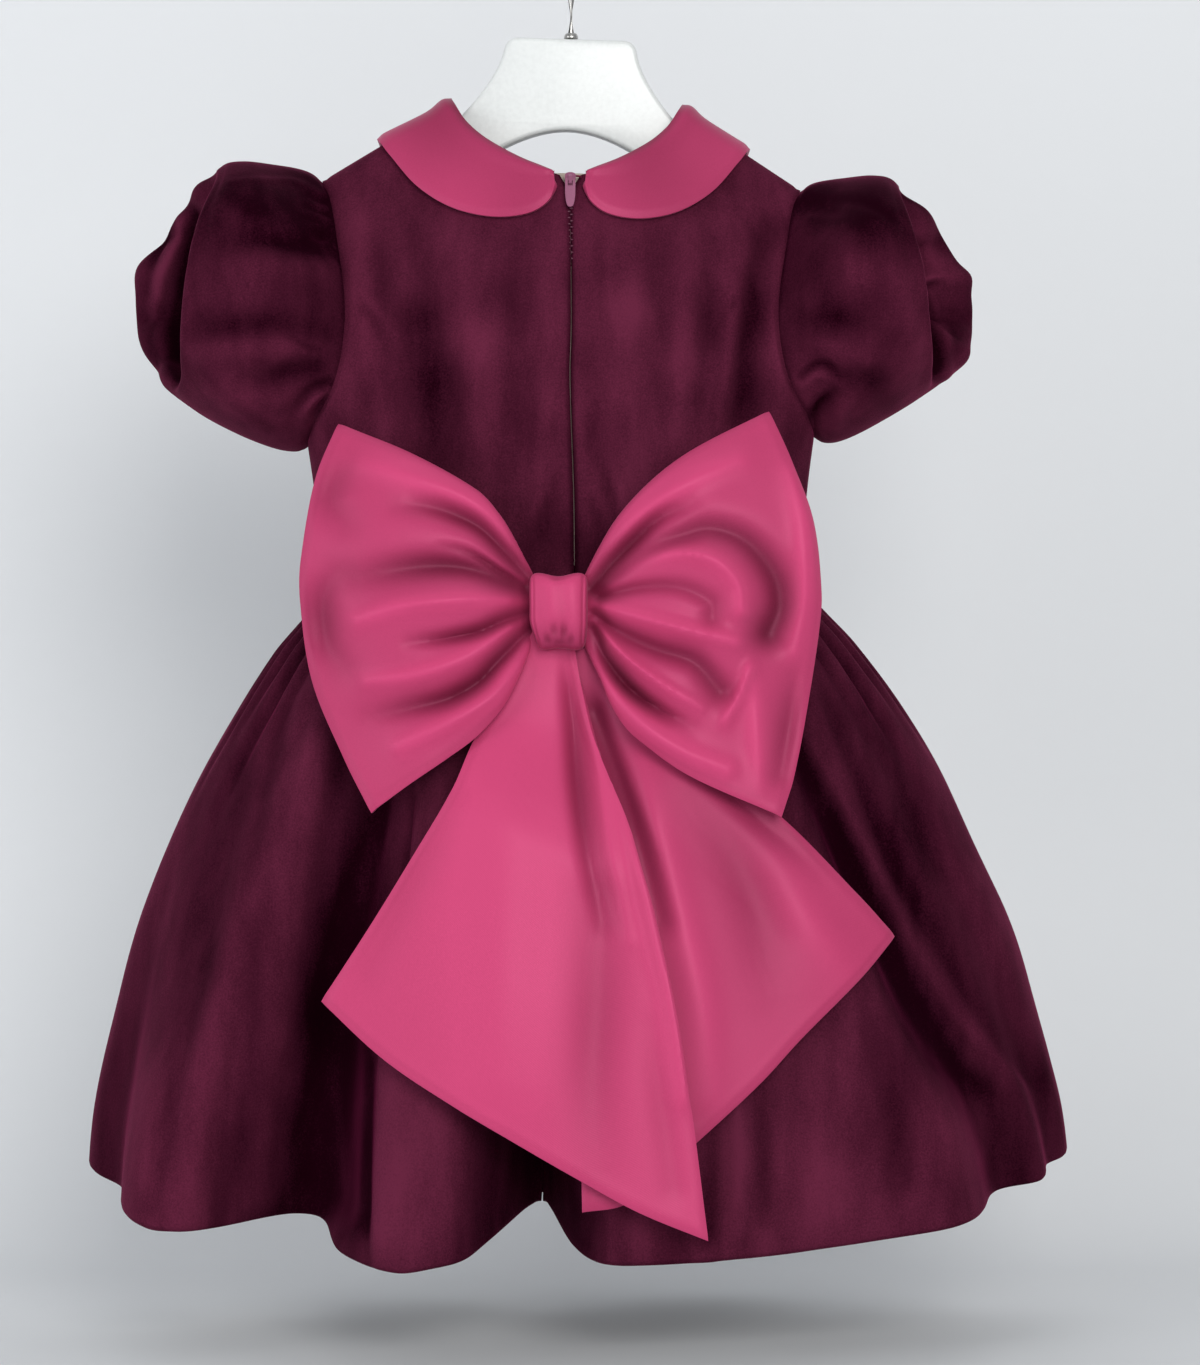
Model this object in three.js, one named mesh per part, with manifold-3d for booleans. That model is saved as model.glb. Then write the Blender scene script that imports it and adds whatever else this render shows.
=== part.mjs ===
// A toddler's party dress in velvet with a satin collar and a big satin bow, on its hanger.
// Millimetres. The back of the dress faces -Y, +X is the right-hand side seen from the back, +Z is up.
// The origin is the inside top of the hanger's hook, where a rail bears.
import * as THREE from "three";
import Module from "manifold-3d";

const wasm = await Module();
wasm.setup();

// Cloth
const VELVET = 1.6; // velvet wall
const SATIN = 2.2; // two layers of satin and the stiffening between them
const SEAM = 0.3; // space between two pieces that are sewn together

// Hanger
const WIRE_RADIUS = 1.9;
const HOOK_RADIUS = 18; // inside radius of the hook
const HOOK_TIP_ANGLE = -35; // degrees below the level of the hook's centre where the wire ends
const HOOK_TURN_ANGLE = -55; // degrees at which the hook bends back towards the shank
const BOARD_TOP = -78;
const BOARD_THICK = 9;
const BOARD_EDGE = 2.6; // rounding of the board's edges
const BOARD_LEAN = 1.8; // degrees that the board hangs down to the right
const BOARD_NECK = 25; // half the straight part of the board's top edge
const BOARD_ARM = 105; // half the board's length
const BOARD_ARCH = -122; // underside of the arch in the middle
const BOARD_UNDER = VELVET + 1; // from the shoulder seams' line down to the arms
const FERRULE = { wide: 3.4, shoulder: 3.2, mouth: 2.5, tall: 2.6, shoulderTall: 1.8, lift: 0.15 };
const HOOK_STEPS = { hook: 22, bend: 5, whole: 36, round: 8 };

// Bodice, measured on a half pattern
const NECK_POINT = 54; // half the width between the two tops of the shoulder seams
const NECK_POINT_HEIGHT = -110;
const SHOULDER_SLOPE = 0.63; // drop for each millimetre outwards
const SHOULDER_TIP = 114.7;
const SHOULDER_ROUND = 7.5; // radius of the cloth over the hanger's edge
const BACK_FALL = 0.45; // how fast the back stands off below the shoulders
const CHEST_DEPTH = 50;
const CHEST_POWER = 2.4; // 2 is an ellipse, more is squarer
const WAIST_HEIGHT = -341;
const WAIST_WIDTH = 113; // half of it
const HEM_HEIGHT_SIDE = -611;
const HEM_HEIGHT_BACK = -646;

// The dress hangs a little askew: widen is the share by which the left is wider than the right,
// lean is the drop to the right for each millimetre of width.
const ASKEW = [
  { height: -620, widen: -0.016, lean: -0.014 },
  { height: -520, widen: -0.006, lean: -0.014 },
  { height: -400, widen: 0.01, lean: -0.016 },
  { height: -341, widen: 0.035, lean: -0.018 },
  { height: -270, widen: 0.04, lean: -0.018 },
  { height: -210, widen: 0.04, lean: 0 },
  { height: -150, widen: 0.04, lean: 0.019 },
  { height: -105, widen: 0.04, lean: 0.031 },
];

// Half pattern of the bodice: across from the centre, height
const BACK_NECK = [
  { across: 0, height: -148 },
  { across: 16, height: -144.5 },
  { across: 28, height: -138 },
  { across: 40, height: -130.5 },
  { across: 48.5, height: -121 },
  { across: NECK_POINT, height: NECK_POINT_HEIGHT },
];
const FRONT_NECK = [
  { across: 0, height: -174 },
  { across: 15, height: -171 },
  { across: 28, height: -161 },
  { across: 40, height: -146 },
  { across: 49, height: -128 },
  { across: NECK_POINT, height: NECK_POINT_HEIGHT },
];
const SHOULDER_TIP_HEIGHT = shoulderLine(SHOULDER_TIP);
const ARMHOLE = [
  { across: SHOULDER_TIP, height: SHOULDER_TIP_HEIGHT },
  { across: 110.3, height: -158 },
  { across: 106, height: -180 },
  { across: 102.8, height: -200 },
  { across: 102, height: -216 },
  { across: 104.2, height: -235 },
  { across: 109.2, height: -250 },
  { across: 117.4, height: -263 },
  { across: 121.4, height: -271.4 },
];
const SIDE_SEAM = [
  { across: 121.4, height: -271.4 },
  { across: 118.8, height: -290 },
  { across: WAIST_WIDTH, height: WAIST_HEIGHT },
];
// Half width that the bodice's round section would have at each height
const SECTION_WIDTH = [
  { height: -345, half: WAIST_WIDTH },
  { height: WAIST_HEIGHT, half: WAIST_WIDTH },
  { height: -290, half: 118.9 },
  { height: -271.4, half: 121.5 },
  { height: -263, half: 123.5 },
  { height: -250, half: 130 },
  { height: -235, half: 138 },
  { height: -180, half: 139 },
  { height: -100, half: 139 },
];
const ARMHOLE_SHARE = 0.62; // of the panel's outer edge, from the shoulder tip to the underarm
const NECK_SHARE = 0.5; // of the panel's top edge, from the centre to the neck point
const BODICE_ROWS = [0, 0.007, 0.022, 0.05, 0.1, 0.18, 0.28, 0.4, 0.52, 0.62, 0.75, 0.88, 1];
const BODICE_COLUMNS = 11;

// Collar: from the neck edge to the outer edge, on the bodice's surface
const COLLAR_BACK = [
  { neck: 7.4, neckHeight: -147, out: 6.4, outHeight: -154 },
  { neck: 13, neckHeight: -144.5, out: 9.5, outHeight: -162 },
  { neck: 21, neckHeight: -141, out: 19, outHeight: -168 },
  { neck: 30, neckHeight: -136, out: 35, outHeight: -169.5 },
  { neck: 39.5, neckHeight: -129.5, out: 53, outHeight: -165 },
  { neck: 47.5, neckHeight: -121.5, out: 69, outHeight: -154.5 },
  { neck: 52.6, neckHeight: -113, out: 81.5, outHeight: -139.5 },
  { neck: NECK_POINT, neckHeight: NECK_POINT_HEIGHT, out: 87.7, outHeight: shoulderLine(87.7) },
];
const COLLAR_FRONT = [
  { neck: 7, neckHeight: -173, out: 6, outHeight: -181 },
  { neck: 13, neckHeight: -171.5, out: 9.5, outHeight: -192 },
  { neck: 21, neckHeight: -166.5, out: 20, outHeight: -202 },
  { neck: 30, neckHeight: -159, out: 39, outHeight: -199 },
  { neck: 39.5, neckHeight: -146.5, out: 58, outHeight: -185 },
  { neck: 47, neckHeight: -132, out: 73, outHeight: -164.5 },
  { neck: 52.3, neckHeight: -117, out: 83.5, outHeight: -143.5 },
  { neck: NECK_POINT, neckHeight: NECK_POINT_HEIGHT, out: 87.7, outHeight: shoulderLine(87.7) },
];
const COLLAR_ACROSS = 5;
const COLLAR_ALONG = 10; // steps on each side of the shoulder
const COLLAR_REST = 0.8; // gap between the bodice and the collar's neck edge
const COLLAR_LIFT = 1.2; // how far the collar's outer edge springs off the bodice

// Sleeve: rings from the armhole to the cuff. out is the distance from the middle of the dress.
const SLEEVE_RINGS = [
  { top: 121, back: 110, bottom: 127, front: 110, height: -208, tall: 65, deep: 47 },
  { top: 137, back: 126, bottom: 138, front: 128, height: -206, tall: 65, deep: 55 },
  { top: 152, back: 146, bottom: 155, front: 155, height: -202, tall: 61.5, deep: 58 },
  { top: 160, back: 162, bottom: 172, front: 184, height: -198, tall: 56, deep: 54 },
  { top: 163, back: 171, bottom: 183, front: 203, height: -195, tall: 49, deep: 45 },
  { top: 160, back: 169, bottom: 181, front: 201, height: -195, tall: 41, deep: 35 },
  { top: 154, back: 160, bottom: 169, front: 180, height: -195.5, tall: 34, deep: 29 },
];
const SLEEVE_COLUMNS = 24;
const ARMHOLE_GAP = 0.6; // the sleeve's flat facets need this much beside the bodice's
const CUFF_LONG = 11;
const CUFF_WALL = 2.4;
const CUFF_GAP = 1.9; // from the middle of the sleeve's turned-in edge

// Skirt sections: half width and half depth at each height
const SKIRT_SECTIONS = [
  { height: -660, wide: 236.5, deep: 111, power: 2.1 },
  { height: -590, wide: 232.5, deep: 104, power: 2.1 },
  { height: -530, wide: 217, deep: 97, power: 2.1 },
  { height: -490, wide: 204, deep: 90, power: 2.15 },
  { height: -440, wide: 182.5, deep: 81, power: 2.2 },
  { height: -400, wide: 160, deep: 70, power: 2.25 },
  { height: -370, wide: 139.5, deep: 61, power: 2.3 },
  { height: -356, wide: 127, deep: 56, power: 2.35 },
  { height: WAIST_HEIGHT, wide: WAIST_WIDTH, deep: 49.7, power: CHEST_POWER },
];
// Folds of the skirt. Turns are quarter turns from the centre back, to the right; before and after are
// the half widths on its left and right in turns; depth is inwards at the hem; rise lifts the hem.
const SKIRT_FOLDS = [
  { waist: 0, hem: -0.035, before: 0.055, after: 0.05, depth: 58, starts: 0.05, rise: 20 },
  { waist: -0.29, hem: -0.385, before: 0.1, after: 0.085, depth: 44, starts: 0.08, rise: 8 },
  { waist: -0.4, hem: -0.56, before: 0.12, after: 0.12, depth: -16, starts: 0.1, rise: 0 },
  { waist: -0.16, hem: -0.2, before: 0.06, after: 0.08, depth: -9, starts: 0.2, rise: -3 },
  { waist: -0.8, hem: -0.8, before: 0.09, after: 0.09, depth: 10, starts: 0.3, rise: 0 },
  { waist: 0.36, hem: 0.68, before: 0.09, after: 0.06, depth: 16, starts: 0.06, rise: 0 },
  { waist: 0.27, hem: 0.5, before: 0.09, after: 0.09, depth: -9, starts: 0.15, rise: 0 },
  { waist: 0.5, hem: 0.86, before: 0.07, after: 0.05, depth: 7, starts: 0.06, rise: 0 },
  { waist: 1.25, hem: 1.28, before: 0.09, after: 0.1, depth: 26, starts: 0.1, rise: 4 },
  { waist: 1.58, hem: 1.62, before: 0.1, after: 0.08, depth: 38, starts: 0.08, rise: 6 },
  { waist: 1.44, hem: 1.46, before: 0.09, after: 0.09, depth: -8, starts: 0.2, rise: 0 },
  { waist: 2.02, hem: 2.04, before: 0.09, after: 0.1, depth: 46, starts: 0.08, rise: 8 },
  { waist: 2.4, hem: 2.38, before: 0.09, after: 0.1, depth: 36, starts: 0.1, rise: 6 },
  { waist: 2.74, hem: 2.75, before: 0.09, after: 0.09, depth: 24, starts: 0.12, rise: 4 },
];
const FOLD_GROWTH = 0.85; // power at which a fold deepens downwards
const HEM_DIP = 1.2; // power at which the hem drops towards the back and the front
const SEAM_CROWD = 1.5; // power at which the back panels' columns crowd at their centre seam
const SKIRT_ROWS = [0, 0.05, 0.12, 0.21, 0.32, 0.44, 0.56, 0.68, 0.8, 0.91, 1];
const SKIRT_BACK_COLUMNS = 26;
const SKIRT_FRONT_COLUMNS = 38;

// Bow, outlines as across and height, from the knot outwards or from the knot downwards
const LEFT_WING = {
  top: [[-19, -337], [-23.4, -322.4], [-30.7, -310.1], [-41.7, -297.8], [-72.2, -281], [-106.8, -266.4]],
  end: [[-106.8, -266.4], [-116.3, -291.9], [-123.2, -331], [-123.2, -349.3], [-117.7, -385.7],
    [-102.7, -421.2], [-89.9, -444.9]],
  bottom: [[-19, -370.7], [-23.4, -387.1], [-29.8, -398], [-41.7, -410.8], [-54, -419.9],
    [-72.2, -432.2], [-89.9, -444.9]],
  // share from the top edge to the bottom edge at the knot and where the groove fades out
  grooves: [
    { knot: 0.08, fades: 0.15, reach: 0.72, half: 0.045, depth: 5 },
    { knot: 0.24, fades: 0.39, reach: 0.85, half: 0.06, depth: 7 },
    { knot: 0.5, fades: 0.58, reach: 0.75, half: 0.06, depth: 8 },
    { knot: 0.75, fades: 0.77, reach: 0.78, half: 0.055, depth: 7 },
  ],
};
const RIGHT_WING = {
  top: [[9, -337.9], [12.1, -325.1], [19.4, -312.9], [29.4, -301], [43, -288.3], [58.1, -278.2],
    [91.8, -260.9]],
  end: [[91.8, -260.9], [101.8, -284.2], [111.8, -312.9], [115.5, -345.2], [114.1, -363.9],
    [108.6, -397.6], [101.8, -429.9], [96.3, -446.7]],
  bottom: [[9, -370.5], [13, -383.9], [18, -396.2], [25.7, -407.6], [35.8, -416.2], [49.4, -425.8],
    [65.8, -434], [96.3, -446.7]],
  grooves: [
    { knot: 0.1, fades: 0.2, reach: 0.66, half: 0.05, depth: 6 },
    { knot: 0.3, fades: 0.37, reach: 0.6, half: 0.05, depth: 5 },
    { knot: 0.66, fades: 0.66, reach: 0.95, half: 0.07, depth: 11 },
    { knot: 0.9, fades: 0.85, reach: 0.75, half: 0.05, depth: 9 },
  ],
};
// Depth of both wings, towards the back of the dress: share outwards, at the top, middle and bottom
const WING_STAND = [
  { share: 0, top: 74, middle: 76, bottom: 74 },
  { share: 0.3, top: 78, middle: 92, bottom: 90 },
  { share: 0.65, top: 76, middle: 95, bottom: 96 },
  { share: 1, top: 66, middle: 80, bottom: 95 },
];
const WING_ROWS = 9;
const WING_COLUMNS = 15;

const KNOT = { across: -5, height: -354, front: -93, back: -56.6, halfWide: 13.6, halfTall: 18 };
const KNOT_SQUARED = 0.55; // 1 is a round block, less is squarer
const KNOT_WAIST = 0.14; // share by which the knot narrows at its top and bottom

const FRONT_TAIL = {
  left: [[-12, -372.5], [-26, -391], [-41.5, -411.6], [-52.6, -433.7], [-70.7, -464.9], [-88.3, -493.7],
    [-111.7, -529.2]],
  right: [[0, -372.5], [8.4, -406.2], [17.5, -428.3], [27, -450.3], [34.2, -472.2], [39.5, -490.4],
    [49.7, -540.9], [54.9, -577.1], [61.9, -633.4]],
  bottom: [[-111.7, -529.2], [-82.5, -554.5], [-51.6, -574.3], [-24, -590.2], [3.2, -605.6],
    [30.4, -620.3], [61.9, -633.4]],
  folds: [
    { root: 0.72, hem: 0.86, half: 0.1, depth: 7, fades: 0.75 },
    { root: 0.4, hem: 0.5, half: 0.16, depth: -4, fades: 0.9 },
  ],
  stand: 22,
};
const BACK_TAIL = {
  left: [[-7, -372.5], [-2, -420], [2.6, -484], [4.6, -560], [5.9, -622]],
  right: [[5.5, -372.5], [26, -392], [52, -414], [97, -448], [133, -484], [149, -502]],
  bottom: [[5.9, -622], [26, -618], [58, -591], [86, -566], [104.5, -547], [133, -520], [149, -502]],
  folds: [
    { root: 0.35, hem: 0.45, half: 0.14, depth: 3, fades: 0.6 },
  ],
  stand: 12.5,
};
const TAIL_ROWS = 12;
const TAIL_COLUMNS = 8;
const TAIL_ROOT_DEPTH = { front: 78, back: 71 };
const TAIL_FALL = [0.04, 0.45]; // shares of the length between which a tail comes down onto the skirt

// Zip
const ZIP_TOP = -152; // height at which the zip is closed
const ZIP_MOUTH = 3.2; // half the width of the open V at the neck
const TAPE = { halfWide: 9, thick: 1, top: -147, bottom: -332, steps: 14 };
const SLIDER = {
  wide: 5.2,
  tall: 8.4,
  thick: 2.2,
  tail: 0.7, // width of its lower end, as a share of its width
  bridgeHalf: 2.2, // half the bridge's length along the zip
  bridgeWide: 1.6,
  bridgeThick: 0.8,
  bridgeFoot: 0.4, // how deep the bridge's feet go into the plate
  window: 1.8, // clear height under the bridge
};
const PULL = { wide: 4.8, long: 14, thick: 1, bar: 1.1, corner: 1.2, eyeLong: 2.6, eyeWide: 2.3, lean: 3 };

const dress = new THREE.Group();

function material(color, roughness, metalness) {
  return new THREE.MeshStandardMaterial({ color, roughness, metalness });
}
const velvet = () => material(0x4a1830, 0.95, 0);
const satin = () => material(0xbe466e, 0.38, 0);
const metal = () => material(0xb9bab8, 0.3, 1);

function addPiece(name, geometry, finish) {
  const mesh = new THREE.Mesh(geometry, finish);
  mesh.name = name;
  dress.add(mesh);
  return mesh;
}

function clamp(value, low, high) {
  return Math.min(high, Math.max(low, value));
}

function mix(a, b, share) {
  return a + (b - a) * share;
}

function smoothStep(low, high, value) {
  const share = clamp((value - low) / (high - low), 0, 1);
  return share * share * (3 - 2 * share);
}

// The value at one place on a smooth curve through values that stand at rising places
function curveValue(places, values, at) {
  const last = places.length - 1;
  let k = 0;
  while (k < last - 1 && at > places[k + 1]) k += 1;
  const slope = (i) => {
    const low = Math.max(i - 1, 0);
    const high = Math.min(i + 1, last);
    return (values[high] - values[low]) / (places[high] - places[low]);
  };
  const span = places[k + 1] - places[k];
  const t = clamp((at - places[k]) / span, 0, 1);
  const rise = values[k + 1] - values[k];
  const bend = t * (1 - t) * ((1 - t) * (slope(k) * span - rise) - t * (slope(k + 1) * span - rise));
  return values[k] + rise * t + bend;
}

// One column of a table that is sorted by its key column
function tableValue(rows, key, column, at) {
  return curveValue(rows.map((row) => row[key]), rows.map((row) => row[column]), at);
}

// A smooth curve through flat points, as a function from 0 at its start to 1 at its end
function outline(points) {
  const places = [0];
  for (let i = 1; i < points.length; i += 1) {
    const step = Math.hypot(points[i][0] - points[i - 1][0], points[i][1] - points[i - 1][1]);
    places.push(places[i - 1] + step);
  }
  const total = places[places.length - 1];
  const axis = (k) => points.map((point) => point[k]);
  return (share) => [curveValue(places, axis(0), share * total), curveValue(places, axis(1), share * total)];
}

// Two curves one after the other, which meet at the given share
function joined(first, second, meet) {
  return (share) => (share < meet ? first(share / meet) : second((share - meet) / (1 - meet)));
}

const flat = (rows) => rows.map((row) => [row.across, row.height]);
const pointsOf = (pairs) => pairs.map(([x, y]) => new THREE.Vector2(x, y));

// A closed outline from its right half, whose first and last points lie on the middle line
function mirrored(points) {
  const left = points.slice(1, -1).reverse().map((point) => new THREE.Vector2(-point.x, point.y));
  return [...points, ...left];
}

// A point inside four edges: u runs along the top and bottom edges, v along the left and right ones
function patch(edges, u, v) {
  const [top, bottom, left, right] = [edges.top(u), edges.bottom(u), edges.left(v), edges.right(v)];
  const corners = [edges.top(0), edges.top(1), edges.bottom(0), edges.bottom(1)];
  return [0, 1].map((k) => {
    const ruled = mix(top[k], bottom[k], v) + mix(left[k], right[k], u);
    const bilinear = mix(mix(corners[0][k], corners[1][k], u), mix(corners[2][k], corners[3][k], u), v);
    return ruled - bilinear;
  });
}

// The dress's own slight lean and widening to one side
function hang(point) {
  const widen = tableValue(ASKEW, "height", "widen", point.z);
  const lean = tableValue(ASKEW, "height", "lean", point.z);
  const x = point.x * (1 - Math.sign(point.x) * widen);
  return new THREE.Vector3(x, point.y, point.z - lean * x);
}

// Unit normals of a grid of points, facing away from inside. pin names the axes dropped at a grid point.
function gridNormals(grid, ring, inside, pin) {
  const rows = grid.length;
  const columns = grid[0].length;
  const column = (c) => (ring ? (c + columns) % columns : clamp(c, 0, columns - 1));
  let facing = 0;
  const normals = grid.map((row, r) =>
    row.map((point, c) => {
      const down = grid[Math.min(r + 1, rows - 1)][c].clone().sub(grid[Math.max(r - 1, 0)][c]);
      const along = grid[r][column(c + 1)].clone().sub(grid[r][column(c - 1)]);
      const normal = along.cross(down).normalize();
      facing += normal.dot(point.clone().sub(inside));
      return normal;
    }),
  );
  return normals.map((row, r) =>
    row.map((normal, c) => {
      for (const axis of pin(r, c)) normal[axis] = 0;
      return normal.multiplyScalar(Math.sign(facing)).normalize();
    }),
  );
}

function moved(grid, normals, distance) {
  const shifted = (point, r, c) => point.clone().addScaledVector(normals[r][c], distance);
  return grid.map((row, r) => row.map((point, c) => shifted(point, r, c)));
}

// A closed solid between two grids of points that match, wrapped round where each row is a ring
function shell(outer, inner, ring) {
  const rows = outer.length;
  const columns = outer[0].length;
  const steps = ring ? columns : columns - 1;
  const o = (r, c) => r * columns + (c % columns);
  const i = (r, c) => rows * columns + o(r, c);
  const faces = [];
  const quad = (a, b, c, d) => faces.push(a, b, c, a, c, d);
  const end = rows - 1;
  for (let c = 0; c < steps; c += 1) {
    for (let r = 0; r < end; r += 1) {
      quad(o(r, c), o(r, c + 1), o(r + 1, c + 1), o(r + 1, c));
      quad(i(r, c), i(r + 1, c), i(r + 1, c + 1), i(r, c + 1));
    }
    quad(o(0, c + 1), o(0, c), i(0, c), i(0, c + 1));
    quad(o(end, c), o(end, c + 1), i(end, c + 1), i(end, c));
  }
  if (!ring) {
    for (let r = 0; r < end; r += 1) {
      quad(o(r, 0), o(r + 1, 0), i(r + 1, 0), i(r, 0));
      quad(o(r + 1, steps), o(r, steps), i(r, steps), i(r + 1, steps));
    }
  }
  return facingOut([...outer.flat(), ...inner.flat()], faces);
}

function facingOut(points, faces) {
  let volume = 0;
  for (let f = 0; f < faces.length; f += 3) {
    const [a, b, c] = [points[faces[f]], points[faces[f + 1]], points[faces[f + 2]]];
    volume += a.dot(b.clone().cross(c));
  }
  const order = volume < 0 ? [0, 2, 1] : [0, 1, 2];
  const index = faces.map((_, k) => faces[k - (k % 3) + order[k % 3]]);
  return new THREE.BufferGeometry().setFromPoints(points).setIndex(index);
}

function wall(grid, thickness, inside, ring = false, pin = () => "") {
  return shell(grid, moved(grid, gridNormals(grid, ring, inside, pin), -thickness), ring);
}

function hung(grid) {
  return grid.map((row) => row.map(hang));
}

// How far the bodice's cloth stands from the middle plane, at a place on its front or back
function shoulderLine(across) {
  return NECK_POINT_HEIGHT - (across - NECK_POINT) * SHOULDER_SLOPE;
}

function bodiceDepth(across, height) {
  const drop = Math.max(0, shoulderLine(Math.abs(across)) - height);
  const edge = Math.min(drop, SHOULDER_ROUND);
  const over = Math.sqrt(SHOULDER_ROUND ** 2 - (SHOULDER_ROUND - edge) ** 2);
  const fall = over + BACK_FALL * drop;
  const half = tableValue(SECTION_WIDTH, "height", "half", height);
  const share = Math.min(1, Math.abs(across) / half);
  const round = CHEST_DEPTH * (1 - share ** CHEST_POWER) ** (1 / CHEST_POWER);
  if (fall < 1e-6 || round < 1e-6) return 0;
  return (fall ** -4 + round ** -4) ** -0.25;
}

function bodiceEdges(neck) {
  const centreTop = neck[0].height;
  const shoulder = (s) => {
    const across = mix(NECK_POINT, SHOULDER_TIP, s);
    return [across, shoulderLine(across)];
  };
  return {
    top: joined(outline(flat(neck)), shoulder, NECK_SHARE),
    bottom: (u) => [WAIST_WIDTH * Math.sin((u * Math.PI) / 2), WAIST_HEIGHT],
    left: (v) => [0, mix(centreTop, WAIST_HEIGHT, v)],
    right: joined(outline(flat(ARMHOLE)), outline(flat(SIDE_SEAM)), ARMHOLE_SHARE),
  };
}

// A point of the bodice: u is -1 and 1 at the armholes and 0 at the centre, facing is -1 for the back
function bodicePoint(edges, u, v, facing) {
  const [across, height] = patch(edges, Math.abs(u), v);
  const onSide = Math.abs(u) === 1 && v >= ARMHOLE_SHARE;
  const depth = onSide ? 0 : bodiceDepth(across, height);
  return new THREE.Vector3(Math.sign(u) * across, facing * (SEAM / 2 + depth), height);
}

const CHEST = new THREE.Vector3(0, 0, -240);

function bodiceBack(side) {
  const edges = bodiceEdges(BACK_NECK);
  const mouth = (height) => Math.max(SEAM / 2, ZIP_MOUTH * smoothStep(ZIP_TOP - 6, -146, height));
  const grid = BODICE_ROWS.map((v) =>
    Array.from({ length: BODICE_COLUMNS + 1 }, (_, c) => {
      const point = bodicePoint(edges, (side * c) / BODICE_COLUMNS, v, -1);
      if (c === 0) point.x = side * mouth(point.z);
      return point;
    }),
  );
  const neckColumns = Math.floor(NECK_SHARE * BODICE_COLUMNS);
  const pin = (r, c) => {
    let axes = "";
    if (c === 0) axes += "x";
    if (c === BODICE_COLUMNS && BODICE_ROWS[r] >= ARMHOLE_SHARE) axes += "y";
    if (r === 0 && c > neckColumns) axes += "y";
    if (r === BODICE_ROWS.length - 1) axes += "z";
    return axes;
  };
  return wall(hung(grid), VELVET, CHEST, false, pin);
}

function bodiceFront() {
  const edges = bodiceEdges(FRONT_NECK);
  const places = Array.from({ length: 2 * BODICE_COLUMNS + 1 }, (_, c) => c / BODICE_COLUMNS - 1);
  const grid = BODICE_ROWS.map((v) => places.map((u) => bodicePoint(edges, u, v, 1)));
  const neckColumns = Math.floor(NECK_SHARE * BODICE_COLUMNS);
  const pin = (r, c) => {
    const fromCentre = Math.abs(c - BODICE_COLUMNS);
    let axes = "";
    if (fromCentre === BODICE_COLUMNS && BODICE_ROWS[r] >= ARMHOLE_SHARE) axes += "y";
    if (r === 0 && fromCentre > neckColumns) axes += "y";
    if (r === BODICE_ROWS.length - 1) axes += "z";
    return axes;
  };
  return wall(hung(grid), VELVET, CHEST, false, pin);
}

// The collar follows the bodice's surface from the centre back over the shoulder to the centre front
function collar(side) {
  const places = (rows) => rows.map((_, i) => i / (rows.length - 1));
  const pointAt = (rows, facing, along, across) => {
    const value = (column) => curveValue(places(rows), rows.map((row) => row[column]), along);
    const x = mix(value("neck"), value("out"), across);
    const ridge = shoulderLine(x);
    const z = along === 1 ? ridge : Math.min(ridge, mix(value("neckHeight"), value("outHeight"), across));
    return hang(new THREE.Vector3(side * x, facing * bodiceDepth(x, z), z));
  };
  const column = (rows, facing, step) => {
    const along = Math.sin(((step / COLLAR_ALONG) * Math.PI) / 2);
    const shares = Array.from({ length: COLLAR_ACROSS + 1 }, (_, k) => k / COLLAR_ACROSS);
    return shares.map((across) => pointAt(rows, facing, along, across));
  };
  const grid = [];
  for (let step = 0; step <= COLLAR_ALONG; step += 1) grid.push(column(COLLAR_BACK, -1, step));
  for (let step = COLLAR_ALONG - 1; step >= 0; step -= 1) grid.push(column(COLLAR_FRONT, 1, step));
  const normals = gridNormals(grid, false, CHEST, () => "");
  const lift = (k) => COLLAR_REST + COLLAR_LIFT * (k / COLLAR_ACROSS);
  const raised = (point, r, k, extra) => point.clone().addScaledVector(normals[r][k], lift(k) + extra);
  const layer = (extra) => grid.map((row, r) => row.map((point, k) => raised(point, r, k, extra)));
  return shell(layer(SATIN), layer(0), false);
}

// The armhole's edge as a ring, from the shoulder tip down the back, round the underarm and up the front
function armholePoint(side, turn) {
  const down = (turn < 0.5 ? turn * 2 : 2 - turn * 2) * ARMHOLE_SHARE;
  let k = 0;
  while (BODICE_ROWS[k + 1] < down) k += 1;
  const edges = bodiceEdges(BACK_NECK);
  const facing = turn < 0.5 ? -1 : 1;
  const [above, below] = [k, k + 1].map((row) => bodicePoint(edges, side, BODICE_ROWS[row], facing));
  const share = (down - BODICE_ROWS[k]) / (BODICE_ROWS[k + 1] - BODICE_ROWS[k]);
  const point = above.lerp(below, share);
  return new THREE.Vector3(point.x + side * ARMHOLE_GAP, down === 0 ? 0 : point.y, point.z);
}

function ringPoint(ring, side, turn) {
  const angle = turn * 2 * Math.PI;
  const mean = (ring.top + ring.bottom + ring.back + ring.front) / 4;
  const twice = (ring.top + ring.bottom - ring.back - ring.front) / 4;
  const upright = ((ring.top - ring.bottom) / 2) * Math.cos(angle);
  const level = ((ring.back - ring.front) / 2) * Math.sin(angle);
  const out = mean + upright + level + twice * Math.cos(2 * angle);
  const y = -ring.deep * Math.sin(angle);
  return new THREE.Vector3(side * out, y, ring.height + ring.tall * Math.cos(angle));
}

function sleeve(side) {
  const turns = Array.from({ length: SLEEVE_COLUMNS }, (_, c) => c / SLEEVE_COLUMNS);
  const grid = [turns.map((turn) => armholePoint(side, turn))];
  for (const ring of SLEEVE_RINGS) grid.push(turns.map((turn) => ringPoint(ring, side, turn)));
  const hungGrid = hung(grid);
  const inside = new THREE.Vector3(side * 150, 0, -200);
  return wall(hungGrid, VELVET, inside, true, (r) => (r === 0 ? "x" : ""));
}

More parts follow.
